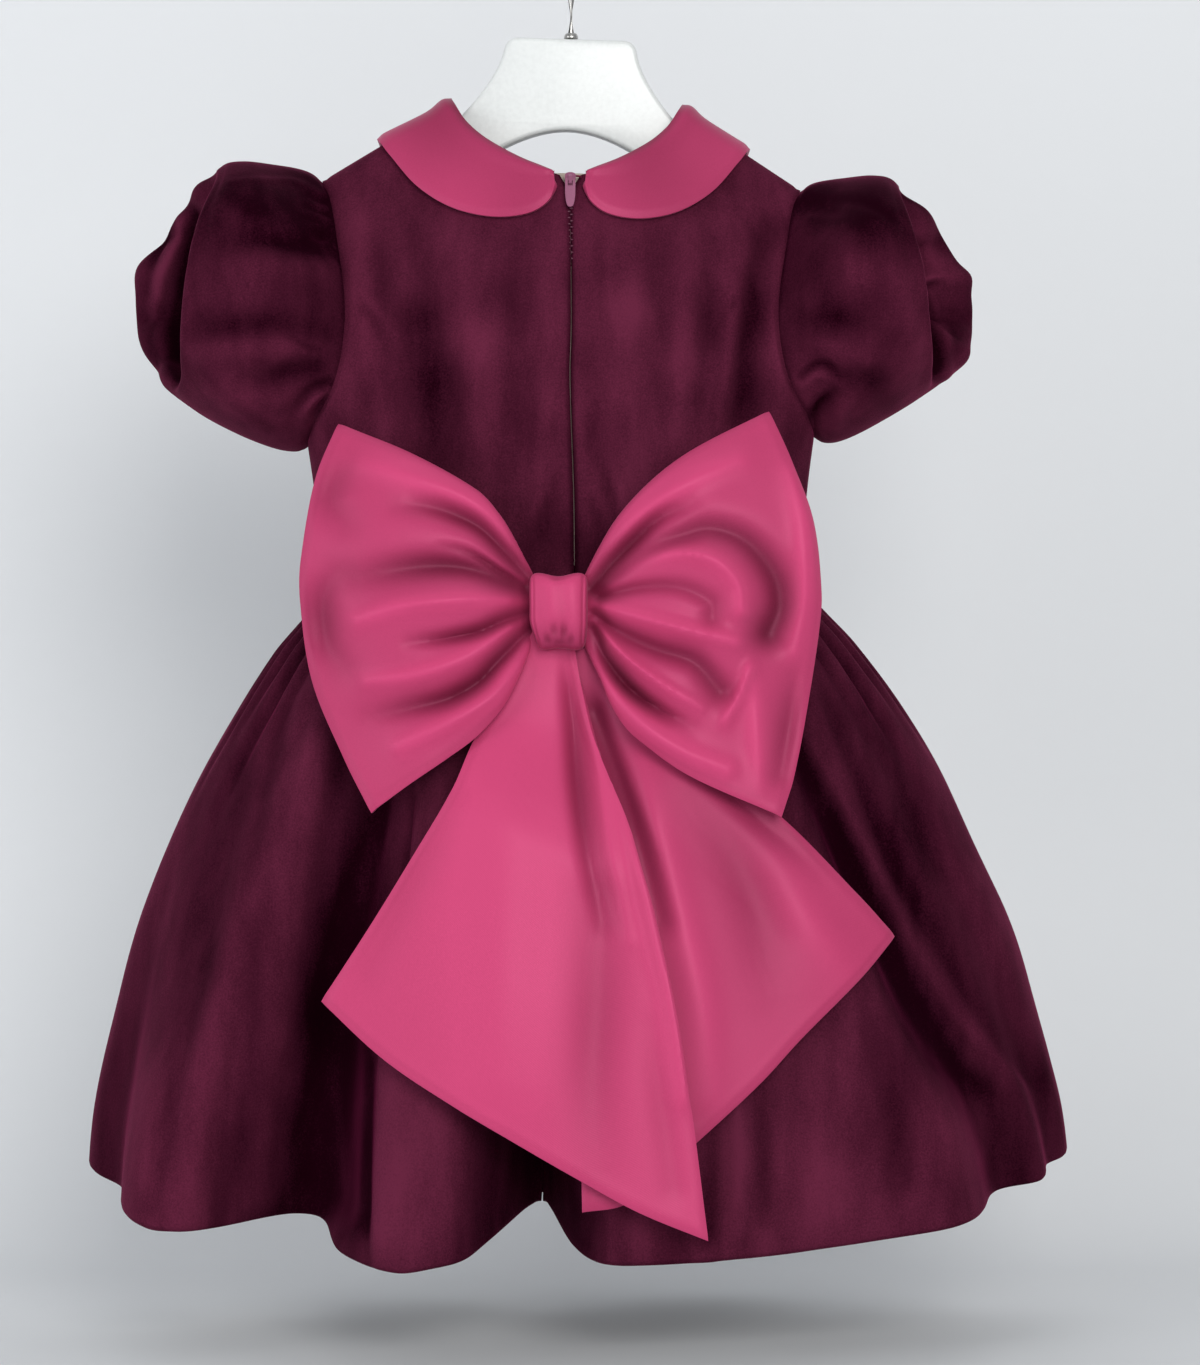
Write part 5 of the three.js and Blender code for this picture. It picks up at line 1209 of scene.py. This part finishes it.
def skirt_panel(start, end, columns, crowd, name):
    """One panel of the skirt between two seams, in quarter turns from the centre back."""
    share, v = shares(columns, 110, 1.1)
    spread = crowd(share)
    from_turn = mix(0, CENTRE_VALLEY, v) if start == 0 else start
    to_turn = mix(0, CENTRE_VALLEY, v) if end == 0 else end
    turn = mix(from_turn, to_turn, spread)
    points, inwards = skirt_points(turn, v)
    for column, at in ((0, start), (-1, end)):
        if at == 0:
            points[:, column, 0] += np.sign(start + end) * SEAM / 2
    points = hang(points)
    rows = SKIRT_FRONT_CREASES if start == 1 else SKIRT_BACK_CREASES
    seams = smooth_step(0, 0.03, share) if start else 1
    seams = seams * (smooth_step(1, 0.97, share) if end else 1)
    creased = relief(rows, points[..., 0], points[..., 2]) * seams
    lift = pleat_lift(turn, v) + 0.6 * creased + drift(points, 70, 44) * 1.2 * smooth_step(0.1, 0.6, v)
    lift -= sizes().seam_dip / MM * edge_roll(points, ("left", "right", "top"))
    # painted shade: darker where the folds go in and in the creases' troughs, lighter on their ridges; on the back,
    # listed patches add the pile's lie and painted shade in the deep folds
    nap = 0.56 - 0.014 * inwards + 0.09 * drift(points, 60, 51) + 0.07 * (lift + 0.4 * creased)
    nap += np.where(points[..., 1] < 0, pile_and_shade_at(SKIRT_PILE_AND_SHADE, points[..., 0], points[..., 2]), 0)
    points = turned_hem(lifted(points, SKIRT_MIDDLE, lift), SKIRT_MIDDLE)
    # painted shade: the hem's turned-in rows are painted darker
    nap = np.concatenate([nap, np.repeat(nap[-1:] - 0.1, 9, axis=0)])
    piece = grid_object("panel_" + name, points, SKIRT_MIDDLE, nap=nap)
    thicken(piece, sizes().velvet_wall)
    return finish_piece(piece, name, finish("Velvet"))


def skirt_depth(across, height):
    """How far the skirt's round section stands back at a place, without its folds."""
    wide, deep, power = (table_value(SKIRT_SECTIONS, "height", name, height) for name in ("wide", "deep", "power"))
    return deep * np.maximum(0, 1 - np.abs(across / wide) ** power) ** (1 / power)


# Collar

def collar_side(table, facing, along, across, side):
    places = np.linspace(0, 1, len(table["neck"]))
    value = {name: curve_value(places, column, along) for name, column in table.items()}
    x = mix(value["neck"], value["out"], across)
    ridge = shoulder_line(x)
    z = np.minimum(ridge, mix(value["neck_height"], value["out_height"], across))
    z = np.where(along >= 1, ridge, z)
    return hang(np.stack([side * x, facing * bodice_depth(x, z), z], -1))


def collar(side, word):
    steps = 64
    along = np.sin(np.linspace(0, 1, steps + 1) * math.pi / 2)
    across, back_along = np.meshgrid(np.linspace(0, 1, 29), along)
    _, front_along = np.meshgrid(np.linspace(0, 1, 29), along[-2::-1])
    points = np.concatenate([
        collar_side(COLLAR_BACK, BACK, back_along, across, side),
        collar_side(COLLAR_FRONT, FRONT, front_along, across[:-1], side),
    ])
    width = np.concatenate([across, across[:-1]])
    # it rolls over at the neck, lies on the shoulder and springs off the bodice towards its edge
    roll = 2.4 * bump((width - 0.1) / 0.14)
    lift = 3.0 + 1.5 * width + roll * 0.7 + 0.35 * drift(points, 45, 61 + side)
    lift -= 1.1 * (edge_roll(points, ("left", "right", "top", "bottom")))
    # painted shade: darker towards the neck and darkest in the roll at the neck edge, lighter towards the outer edge
    nap = 0.56 + 0.16 * (width - 0.5) - 0.25 * bump(width / 0.06) + 0.12 * drift(points, 60, 91 + side)
    points = lifted(points, CHEST, lift)
    piece = grid_object("half_" + word, points, CHEST, nap=nap)
    thicken(piece, sizes().satin_wall)
    round_rim(piece, 0.0006)
    return finish_piece(piece, "collar_" + word, finish("Satin"))


# Bow

def bagged_edge(points, names):
    """The flattened edge of two layers that are sewn together and turned, with the ridge of its seam."""
    across, down = steps_along(points, 1), steps_along(points, 0)
    away = {"left": across, "right": across[:, -1:] - across, "top": down, "bottom": down[-1:] - down}
    lift = 0
    for name in names:
        lift = lift - 0.9 * bump(away[name] / 1.6) + 0.12 * bump((away[name] - 5) / 1.6)
    return lift


def edge_line(points, names):
    """The thin darker line beside a bagged edge's seam."""
    across, down = steps_along(points, 1), steps_along(points, 0)
    away = {"left": across, "right": across[:, -1:] - across, "top": down, "bottom": down[-1:] - down}
    return np.clip(sum(bump((away[name] - 3.4) / 0.9) for name in names), 0, 1)


def bow_wing(word):
    wing = WINGS[word]
    edges = {name: outline(wing[name]) for name in ("top", "bottom")}
    edges["left"] = straight(wing["top"][0], wing["bottom"][0])
    edges["right"] = outline(wing["end"])
    # rows run from the top edge to the bottom edge, columns from the knot outwards
    u, v = shares(104, 96)
    flat = patch(edges, u, v)
    stand = [table_value(WING_STAND, "share", name, u) for name in ("top", "middle", "bottom")]
    depth = mix(mix(stand[0], stand[2], v), stand[1], 4 * v * (1 - v))
    points = np.stack([flat[..., 0], -depth, flat[..., 1]], -1)
    folds = 13 * np.tanh(1.3 * relief(wing["creases"], flat[..., 0], flat[..., 1], 1.75) / 13)
    points[..., 1] -= folds * mix(0.4, 1, smooth_step(0, 0.16, u))
    inside = (0, 200, -350)
    points = lifted(points, inside, bagged_edge(points, ("top", "right", "bottom")) + 0.25 * drift(points, 40, 71))
    # painted shade in the creases' troughs and painted light on their ridges, with a thin darker line beside the edge
    # seam
    nap = 0.76 + 0.1 * folds - 0.06 * edge_line(points, ("top", "right", "bottom"))
    piece = grid_object("loop_" + word, points, inside, nap=nap)
    thicken(piece, sizes().satin_wall)
    round_rim(piece, 0.0006)
    return finish_piece(piece, "bow_wing_" + word, finish("Satin"))


def bow_tail(word):
    tail = TAILS[word]
    edges = {name: outline(tail[name]) for name in ("left", "right", "bottom")}
    edges["top"] = straight(tail["left"][0], tail["right"][0])
    u, v = shares(84, 120)
    flat = patch(edges, u, v)
    laid = skirt_depth(flat[..., 0], flat[..., 1]) + tail["stand"]
    depth = mix(tail["root"], laid, smooth_step(0.04, 0.45, v))
    folds = relief(tail["creases"], flat[..., 0], flat[..., 1], 1.9) * smooth_step(0.0, 0.12, v)
    points = np.stack([flat[..., 0], -(depth + folds), flat[..., 1]], -1)
    inside = (0, 300, -480)
    lift = bagged_edge(points, ("left", "right", "bottom")) + 0.5 * drift(points, 70, 81)
    points = lifted(points, inside, lift)
    # painted shade in the creases' troughs and painted light on their ridges, from the tail's base tone, with a thin
    # darker line beside the edge seam
    nap = tail["tone"] + 0.08 * folds - 0.08 * edge_line(points, ("left", "right", "bottom"))
    piece = grid_object("streamer_" + word, points, inside, nap=nap)
    thicken(piece, sizes().satin_wall)
    round_rim(piece, 0.0006)
    return finish_piece(piece, "bow_tail_" + word, finish("Satin"))


def bow_knot():
    """A band wrapped over the middle of the bow, waisted where it goes in at its top and bottom."""
    bm = bmesh.new()
    bm.loops.layers.uv.new("cloth")
    # this layer holds the band's painted shade and light
    pile = bm.verts.layers.float.new("nap")
    bmesh.ops.create_cube(bm, size=2, calc_uvs=True)
    bmesh.ops.subdivide_edges(bm, edges=bm.edges, cuts=47, use_grid_fill=True)
    half_deep = (KNOT["back"] - KNOT["front"]) / 2
    for vert in bm.verts:
        cube = vert.co.copy()
        power = 7
        length = (abs(cube.x) ** power + abs(cube.y) ** power + abs(cube.z) ** power) ** (1 / power)
        x, y, z = cube / length
        front = max(0.0, -y)
        low = smooth_step(-0.15, -1, z)
        # the band narrows towards its bottom, more on its left
        half_wide = KNOT["half_wide"] * (0.97 - (0.27 if x < 0 else 0.07) * float(low) + 0.03 * z * z)
        # soft folds along the band, its doubled right edge and the dents of its lower third
        folds = 0.3 * math.sin(x * 8 + z * 0.8) * front + 1.3 * math.exp(-(((x - 0.84) / 0.045) ** 2)) * front
        folds += 0.8 * math.exp(-(((x + 0.86) / 0.05) ** 2)) * front
        dents = sum(
            depth * math.exp(-(((x - across) / wide) ** 2) - (((z - height) / tall) ** 2)) * front
            for across, height, wide, tall, depth in KNOT_DENTS
        )
        crown = 2.4 * (1 - x * x) * front
        top_dip = 2 * math.exp(-((x / 0.5) ** 2)) * (1 if z > 0 else -0.5) * float(smooth_step(0.7, 1, abs(z)))
        place = Vector((
            KNOT["across"] + x * half_wide,
            (KNOT["front"] + KNOT["back"]) / 2 + y * half_deep * (0.84 + 0.16 * (1 - z * z)) - crown + folds + dents,
            KNOT["height"] + z * KNOT["half_tall"] - top_dip,
        ))
        vert.co = place * MM
        # painted shade in the band's folds and dents, at its sides and over its lower part, and lighter towards its top
        shade = 0.09 * folds + 0.2 * dents + 0.3 * float(smooth_step(0.9, 1, abs(x))) + 0.3 * float(low)
        vert[pile] = min(1.0, max(0.0, 0.86 + 0.08 * z - shade))
    bmesh.ops.recalc_face_normals(bm, faces=bm.faces)
    piece = mesh_object("wrap", bm)
    return finish_piece(piece, "bow_knot", finish("Satin"))


# Zip

def zip_coil():
    """The coil between the folded edges, as a row of small loops."""
    bm = bmesh.new()
    pitch, first, last = 1.5, -151, -330
    count = int((first - last) / pitch)
    for k in range(count):
        z = first - k * pitch
        x = float(zip_line(z)) + (0.55 if k % 2 else -0.55)
        y = -float(bodice_depth(0, z)) + float(mix(3.4, 0.6, smooth_step(-196, -186, z)))
        place = Matrix.Translation(Vector((x, y, z)) * MM) @ Matrix.Diagonal((0.9, 0.75, 0.45, 1))
        bmesh.ops.create_icosphere(bm, subdivisions=1, radius=MM, matrix=place)
    piece = mesh_object("zip_coil", bm)
    piece.data.materials.append(finish("Zip coil"))
    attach(piece, "dress")
    return piece


def zip_tape():
    """The woven tape behind the folded edges, which shows only in the open mouth at the neck."""
    share, down = shares(24, 160)
    z = mix(TAPE["top"], TAPE["bottom"], down)
    x = (2 * share - 1) * TAPE["half_wide"]
    depth = bodice_depth(x, z) - sizes().velvet_wall / MM - SEAM * 2.5
    points = hang(np.stack([x, -depth, z], -1))
    piece = grid_object("woven_tape", points, CHEST)
    thicken(piece, TAPE["thick"] * MM)
    return finish_piece(piece, "zip_tape", finish("Zip tape"))


def thread_loop():
    """The sewn loop at the top of the zip, a thin bar of thread between two stitches."""
    bm = bmesh.new()
    steps, radius = 18, 0.45
    path = []
    for k in range(steps + 1):
        angle = math.pi * k / steps
        x = 2.6 + 2.4 * math.cos(angle)
        depth = float(bodice_depth(0, -150)) + 0.4 + 1.2 * math.sin(angle)
        path.append(Vector((x, -depth, -149.6 + 0.5 * math.sin(angle))) * MM)
    sweep(bm, path, radius * MM, 8)
    piece = mesh_object("thread_loop", bm)
    piece.data.materials.append(finish("Satin"))
    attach(piece, "dress")
    return piece


def sweep(bm, path, radius, sides):
    """A closed round tube along a path, grown from a circle by extruding it."""
    ring = bmesh.ops.create_circle(bm, cap_ends=False, segments=sides, radius=radius)["verts"]
    flat = [vert.co.copy() for vert in ring]
    edges = list({edge for vert in ring for edge in vert.link_edges})
    first = list(ring)

    def put(verts, k):
        before, after = path[max(k - 1, 0)], path[min(k + 1, len(path) - 1)]
        turn = (after - before).to_track_quat("Z", "Y")
        for vert, co in zip(verts, flat):
            vert.co = path[k] + turn @ co

    put(ring, 0)
    for k in range(1, len(path)):
        made = bmesh.ops.extrude_edge_only(bm, edges=edges)["geom"]
        new_edges = [g for g in made if isinstance(g, bmesh.types.BMEdge)]
        new_verts = [g for g in made if isinstance(g, bmesh.types.BMVert)]
        # the new ring's vertices are put in the old ring's order
        by_old = {}
        for vert in new_verts:
            for edge in vert.link_edges:
                other = edge.other_vert(vert)
                if other in ring:
                    by_old[other] = vert
        ring = [by_old[old] for old in ring]
        put(ring, k)
        edges = [e for e in new_edges if all(v in ring for v in e.verts)]
    bmesh.ops.contextual_create(bm, geom=first)
    bmesh.ops.contextual_create(bm, geom=ring)
    bmesh.ops.recalc_face_normals(bm, faces=bm.faces)


# Hanger

def quadratic(start, bend, end, steps):
    """Points of a curve from start to end, drawn towards bend, without its start."""
    start, bend, end = Vector(start), Vector(bend), Vector(end)
    places = [k / steps for k in range(1, steps + 1)]
    return [start * (1 - t) ** 2 + bend * 2 * t * (1 - t) + end * t * t for t in places]


def board_outline():
    under, arm_end, inset = 2.6, 105, BOARD_EDGE

    def arm_top(x):
        return shoulder_line(x) - under / math.cos(math.atan(SHOULDER_SLOPE))

    points = [Vector((0, BOARD_TOP - inset)), Vector((25, BOARD_TOP - inset))]
    points += quadratic(points[-1], (29, BOARD_TOP - inset), (29.6, BOARD_TOP - 8), 8)
    points += quadratic(points[-1], (33, -100), (50, arm_top(50) - inset * 1.18 - 5), 16)
    points += [Vector((64, arm_top(64) - inset * 1.18 - 1.2)), Vector((102, arm_top(102) - inset * 1.18))]
    points += quadratic(points[-1], (arm_end, arm_top(arm_end) - 6), (arm_end - 5, arm_top(arm_end) - 12), 8)
    points += quadratic(points[-1], (70, -147), (45, -137.5), 14)
    points += quadratic(points[-1], (20, -122 + inset), (0, -122 + inset), 14)
    return points + [Vector((-p.x, p.y)) for p in points[-2:0:-1]]


def hanger_board():
    bm = bmesh.new()
    half = BOARD_THICK / 2
    outer = board_outline()
    count = len(outer)
    grown = []
    for k, point in enumerate(outer):
        way = (outer[(k + 1) % count] - outer[k - 1]).normalized()
        grown.append(point + Vector((way.y, -way.x)) * BOARD_EDGE * -1)
    verts = [bm.verts.new((p.x * MM, -half * MM, p.y * MM)) for p in grown]
    face = bm.faces.new(verts)
    made = bmesh.ops.extrude_face_region(bm, geom=[face])["geom"]
    bmesh.ops.translate(bm, verts=[g for g in made if isinstance(g, bmesh.types.BMVert)], vec=(0, BOARD_THICK * MM, 0))
    bmesh.ops.recalc_face_normals(bm, faces=bm.faces)
    rim = [e for e in bm.edges if len(e.link_faces) == 2 and e.calc_face_angle(0) > math.radians(60)]
    rim = [e for e in rim if abs(e.verts[0].co.y - e.verts[1].co.y) < 1e-6]
    bmesh.ops.bevel(
        bm, geom=rim, offset=BOARD_EDGE * 0.85 * MM, affect="EDGES", segments=4, profile=0.5, material=-1
    )
    bmesh.ops.recalc_face_normals(bm, faces=bm.faces)
    top = Vector((0, 0, BOARD_TOP * MM))
    lean = Matrix.Rotation(math.radians(BOARD_LEAN), 4, "Y")
    bmesh.ops.rotate(bm, verts=bm.verts, cent=top, matrix=lean.to_3x3())
    piece = mesh_object("board", bm, sharp=35)
    return finish_piece(piece, "hanger_board", finish("White paint"))


def hook_path():
    radius = HOOK_RADIUS + WIRE_RADIUS
    points = []
    for k in range(57):
        angle = math.radians(mix(180 - HOOK_TIP_ANGLE, HOOK_TURN_ANGLE, k / 56))
        points.append(Vector((radius * math.cos(angle), 0, -HOOK_RADIUS + radius * math.sin(angle))))
    turn = math.cos(math.radians(HOOK_TURN_ANGLE))
    bend = radius * turn / (1 - turn)
    bend_height = -HOOK_RADIUS + (radius + bend) * math.sin(math.radians(HOOK_TURN_ANGLE))
    for k in range(1, 13):
        angle = math.radians(mix(180 + HOOK_TURN_ANGLE, 180, k / 12))
        points.append(Vector((bend + bend * math.cos(angle), 0, bend_height + bend * math.sin(angle))))
    points.append(Vector((0, 0, BOARD_TOP + SEAM)))
    return [point * MM for point in points]


def hanger_hook():
    bm = bmesh.new()
    sweep(bm, hook_path(), WIRE_RADIUS * MM, 20)
    rim = [e for e in bm.edges if e.calc_face_angle(0) > math.radians(60)]
    bmesh.ops.bevel(bm, geom=rim, offset=0.6 * MM, affect="EDGES", segments=3, profile=0.5, material=-1)
    piece = mesh_object("hook", bm, sharp=40)
    return finish_piece(piece, "hanger_hook", finish("Nickel"))


def hanger_ferrule():
    bm = bmesh.new()
    inner = WIRE_RADIUS + SEAM
    low = BOARD_TOP + SEAM + 0.15
    profile = ((inner, 0), (3.1, 0), (3.4, 0.3), (3.4, 1.0), (3.15, 1.8), (2.6, 2.5), (inner, 2.6))
    verts = [bm.verts.new((x * MM, 0, (low + z) * MM)) for x, z in profile]
    edges = [bm.edges.new((verts[k], verts[(k + 1) % len(verts)])) for k in range(len(verts))]
    bmesh.ops.spin(
        bm, geom=verts + edges, cent=(0, 0, 0), axis=(0, 0, 1), angle=2 * math.pi, steps=40, use_merge=True
    )
    bmesh.ops.remove_doubles(bm, verts=bm.verts, dist=1e-7)
    bmesh.ops.recalc_face_normals(bm, faces=bm.faces)
    piece = mesh_object("collet", bm, sharp=40)
    return finish_piece(piece, "hanger_ferrule", finish("Nickel"))


# Operators

class DRESS_OT_bodice(bpy.types.Operator):
    """Makes the bodice's back panels and its front"""

    bl_idname = "dress.bodice"
    bl_label = "Bodice"
    bl_options = {"REGISTER", "UNDO"}

    def execute(self, context):
        for side, word in SIDE_NAMES:
            bodice_back(side, word)
        bodice_front()
        return {"FINISHED"}


class DRESS_OT_sleeves(bpy.types.Operator):
    """Makes the puffed sleeves and their cuffs"""

    bl_idname = "dress.sleeves"
    bl_label = "Sleeves"
    bl_options = {"REGISTER", "UNDO"}

    def execute(self, context):
        for side, word in SIDE_NAMES:
            sleeve(side, word)
            cuff(side, word)
        return {"FINISHED"}


class DRESS_OT_skirt(bpy.types.Operator):
    """Makes the three panels of the skirt with their turned hem"""

    bl_idname = "dress.skirt"
    bl_label = "Skirt"
    bl_options = {"REGISTER", "UNDO"}

    def execute(self, context):
        skirt_panel(-1, 0, 210, lambda s: 1 - (1 - s) ** 1.3, "skirt_back_left")
        skirt_panel(0, 1, 210, lambda s: s**1.3, "skirt_back_right")
        skirt_panel(1, 3, 190, lambda s: s, "skirt_front")
        return {"FINISHED"}


class DRESS_OT_collar(bpy.types.Operator):
    """Makes the two halves of the collar"""

    bl_idname = "dress.collar"
    bl_label = "Collar"
    bl_options = {"REGISTER", "UNDO"}

    def execute(self, context):
        for side, word in SIDE_NAMES:
            collar(side, word)
        return {"FINISHED"}


class DRESS_OT_bow(bpy.types.Operator):
    """Makes the bow's wings, tails and knot"""

    bl_idname = "dress.bow"
    bl_label = "Bow"
    bl_options = {"REGISTER", "UNDO"}

    def execute(self, context):
        for word in WINGS:
            bow_wing(word)
        for word in TAILS:
            bow_tail(word)
        bow_knot()
        return {"FINISHED"}


class DRESS_OT_zip(bpy.types.Operator):
    """Makes the zip's coil and thread loop, and finishes its tape, slider and pull"""

    bl_idname = "dress.zip"
    bl_label = "Zip"
    bl_options = {"REGISTER", "UNDO"}

    def execute(self, context):
        zip_tape()
        zip_coil()
        thread_loop()
        for node in ("zip_slider", "zip_pull"):
            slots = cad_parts[node].data.materials
            slots.clear()
            slots.append(finish("Enamel"))
        return {"FINISHED"}


class DRESS_OT_hanger(bpy.types.Operator):
    """Makes the hanger's board, ferrule and hook"""

    bl_idname = "dress.hanger"
    bl_label = "Hanger"
    bl_options = {"REGISTER", "UNDO"}

    def execute(self, context):
        hanger_board()
        hanger_ferrule()
        hanger_hook()
        return {"FINISHED"}


class DRESS_OT_stage(bpy.types.Operator):
    """Makes the floor, the wall behind, the lights and the camera"""

    bl_idname = "dress.stage"
    bl_label = "Stage"
    bl_options = {"REGISTER", "UNDO"}

    def execute(self, context):
        make_room()
        make_lights()
        make_camera()
        return {"FINISHED"}


# Stage

CAMERA_PLACE = (13.9, -1600, -386.4)
CAMERA_LENS = 87.9
# Soft lights: place and aim in metres, width and height of the panel, watts, colour
LIGHTS = (
    ((0.55, -2.5, 0.35), (0.0, 0.0, -0.42), (1.2, 1.2), 40, (1.0, 0.985, 0.965)),
    ((-1.9, -1.5, -0.1), (0.0, 0.0, -0.42), (0.9, 1.6), 19, (0.96, 0.98, 1.0)),
    ((0.2, -0.4, 1.5), (0.0, 0.0, -0.3), (1.2, 0.6), 1.5, (1.0, 1.0, 1.0)),
)
WORLD_LIGHT = 0.46
WALL_PLACE = 0.42
WALL_HIGH = 1.5
ROOM_WIDE = 6.0
SWEEP_RADIUS = 0.25


def make_room():
    """A floor that curves up into the wall behind."""
    bm = bmesh.new()
    low = CAD_BOX[0].z - sizes().floor_drop
    profile = [(-3.0, low), (WALL_PLACE - SWEEP_RADIUS, low)]
    for k in range(1, 13):
        angle = math.pi / 2 * k / 12
        y = WALL_PLACE - SWEEP_RADIUS + SWEEP_RADIUS * math.sin(angle)
        profile.append((y, low + SWEEP_RADIUS * (1 - math.cos(angle))))
    profile.append((WALL_PLACE, WALL_HIGH))
    verts = [bm.verts.new((-ROOM_WIDE / 2, y, z)) for y, z in profile]
    edges = [bm.edges.new(pair) for pair in zip(verts, verts[1:])]
    made = bmesh.ops.extrude_edge_only(bm, edges=edges)["geom"]
    bmesh.ops.translate(bm, verts=[g for g in made if isinstance(g, bmesh.types.BMVert)], vec=(ROOM_WIDE, 0, 0))
    bmesh.ops.recalc_face_normals(bm, faces=bm.faces)
    if bm.faces[:][0].normal.z < 0:
        bmesh.ops.reverse_faces(bm, faces=bm.faces)
    room = mesh_object("room", bm)
    material, tree, shader = principled("Room", {"Roughness": 0.9, "Specular IOR Level": 0.1})
    shader.inputs["Base Color"].default_value = (*colours().room, 1)
    # the wall can be seen through from behind, so that it doesn't hide the front of the dress
    behind = add_node(tree, "ShaderNodeNewGeometry").outputs["Backfacing"]
    tree.links.new(math_node(tree, "SUBTRACT", 1.0, behind), shader.inputs["Alpha"])
    room.data.materials.append(material)


def make_lights():
    for k, (place, aim, size, power, colour) in enumerate(LIGHTS):
        data = bpy.data.lights.new(f"panel_{k}", "AREA")
        data.shape = "RECTANGLE"
        data.size, data.size_y = size
        data.energy = power
        data.color = colour
        lamp = bpy.data.objects.new(data.name, data)
        lamp.location = place
        lamp.rotation_euler = (Vector(aim) - Vector(place)).to_track_quat("-Z", "Y").to_euler()
        bpy.context.scene.collection.objects.link(lamp)
    world = bpy.data.worlds.new("Soft room")
    world.use_nodes = True
    sky = world.node_tree.nodes["Background"]
    sky.inputs["Color"].default_value = (0.93, 0.96, 1.0, 1)
    sky.inputs["Strength"].default_value = WORLD_LIGHT
    bpy.context.scene.world = world


def make_camera():
    data = bpy.data.cameras.new("Camera")
    data.lens = CAMERA_LENS
    data.sensor_width = 36
    data.clip_end = 50
    camera = bpy.data.objects.new("Camera", data)
    camera.location = Vector(CAMERA_PLACE) * MM
    camera.rotation_euler = (math.pi / 2, 0, 0)
    bpy.context.scene.collection.objects.link(camera)
    bpy.context.scene.camera = camera
    bpy.context.scene.view_settings.view_transform = "Standard"


OPERATORS = (
    DRESS_OT_bodice, DRESS_OT_sleeves, DRESS_OT_skirt, DRESS_OT_collar, DRESS_OT_bow, DRESS_OT_zip,
    DRESS_OT_hanger, DRESS_OT_stage,
)


class DRESS_PT_panel(bpy.types.Panel):
    """Lists the dress's pieces, sizes and colours"""

    bl_idname = "DRESS_PT_panel"
    bl_label = "Party dress"
    bl_space_type = "VIEW_3D"
    bl_region_type = "UI"
    bl_category = "Dress"

    def draw(self, context):
        layout = self.layout
        for operator in OPERATORS:
            layout.operator(operator.bl_idname)
        for group in (context.scene.dress_sizes, context.scene.dress_colours):
            box = layout.box()
            for name in group.__annotations__:
                box.prop(group, name)


CLASSES = (DressSizes, DressColours, *OPERATORS, DRESS_PT_panel)


def register():
    for item in CLASSES:
        bpy.utils.register_class(item)
    bpy.types.Scene.dress_sizes = bpy.props.PointerProperty(type=DressSizes)
    bpy.types.Scene.dress_colours = bpy.props.PointerProperty(type=DressColours)


def unregister():
    del bpy.types.Scene.dress_colours
    del bpy.types.Scene.dress_sizes
    for item in reversed(CLASSES):
        bpy.utils.unregister_class(item)


def main():
    register()
    uneven_group()
    weave_group()
    for name in ("stage", "bodice", "sleeves", "skirt", "collar", "bow", "zip", "hanger"):
        getattr(bpy.ops.dress, name)()


if __name__ == "__main__":
    main()
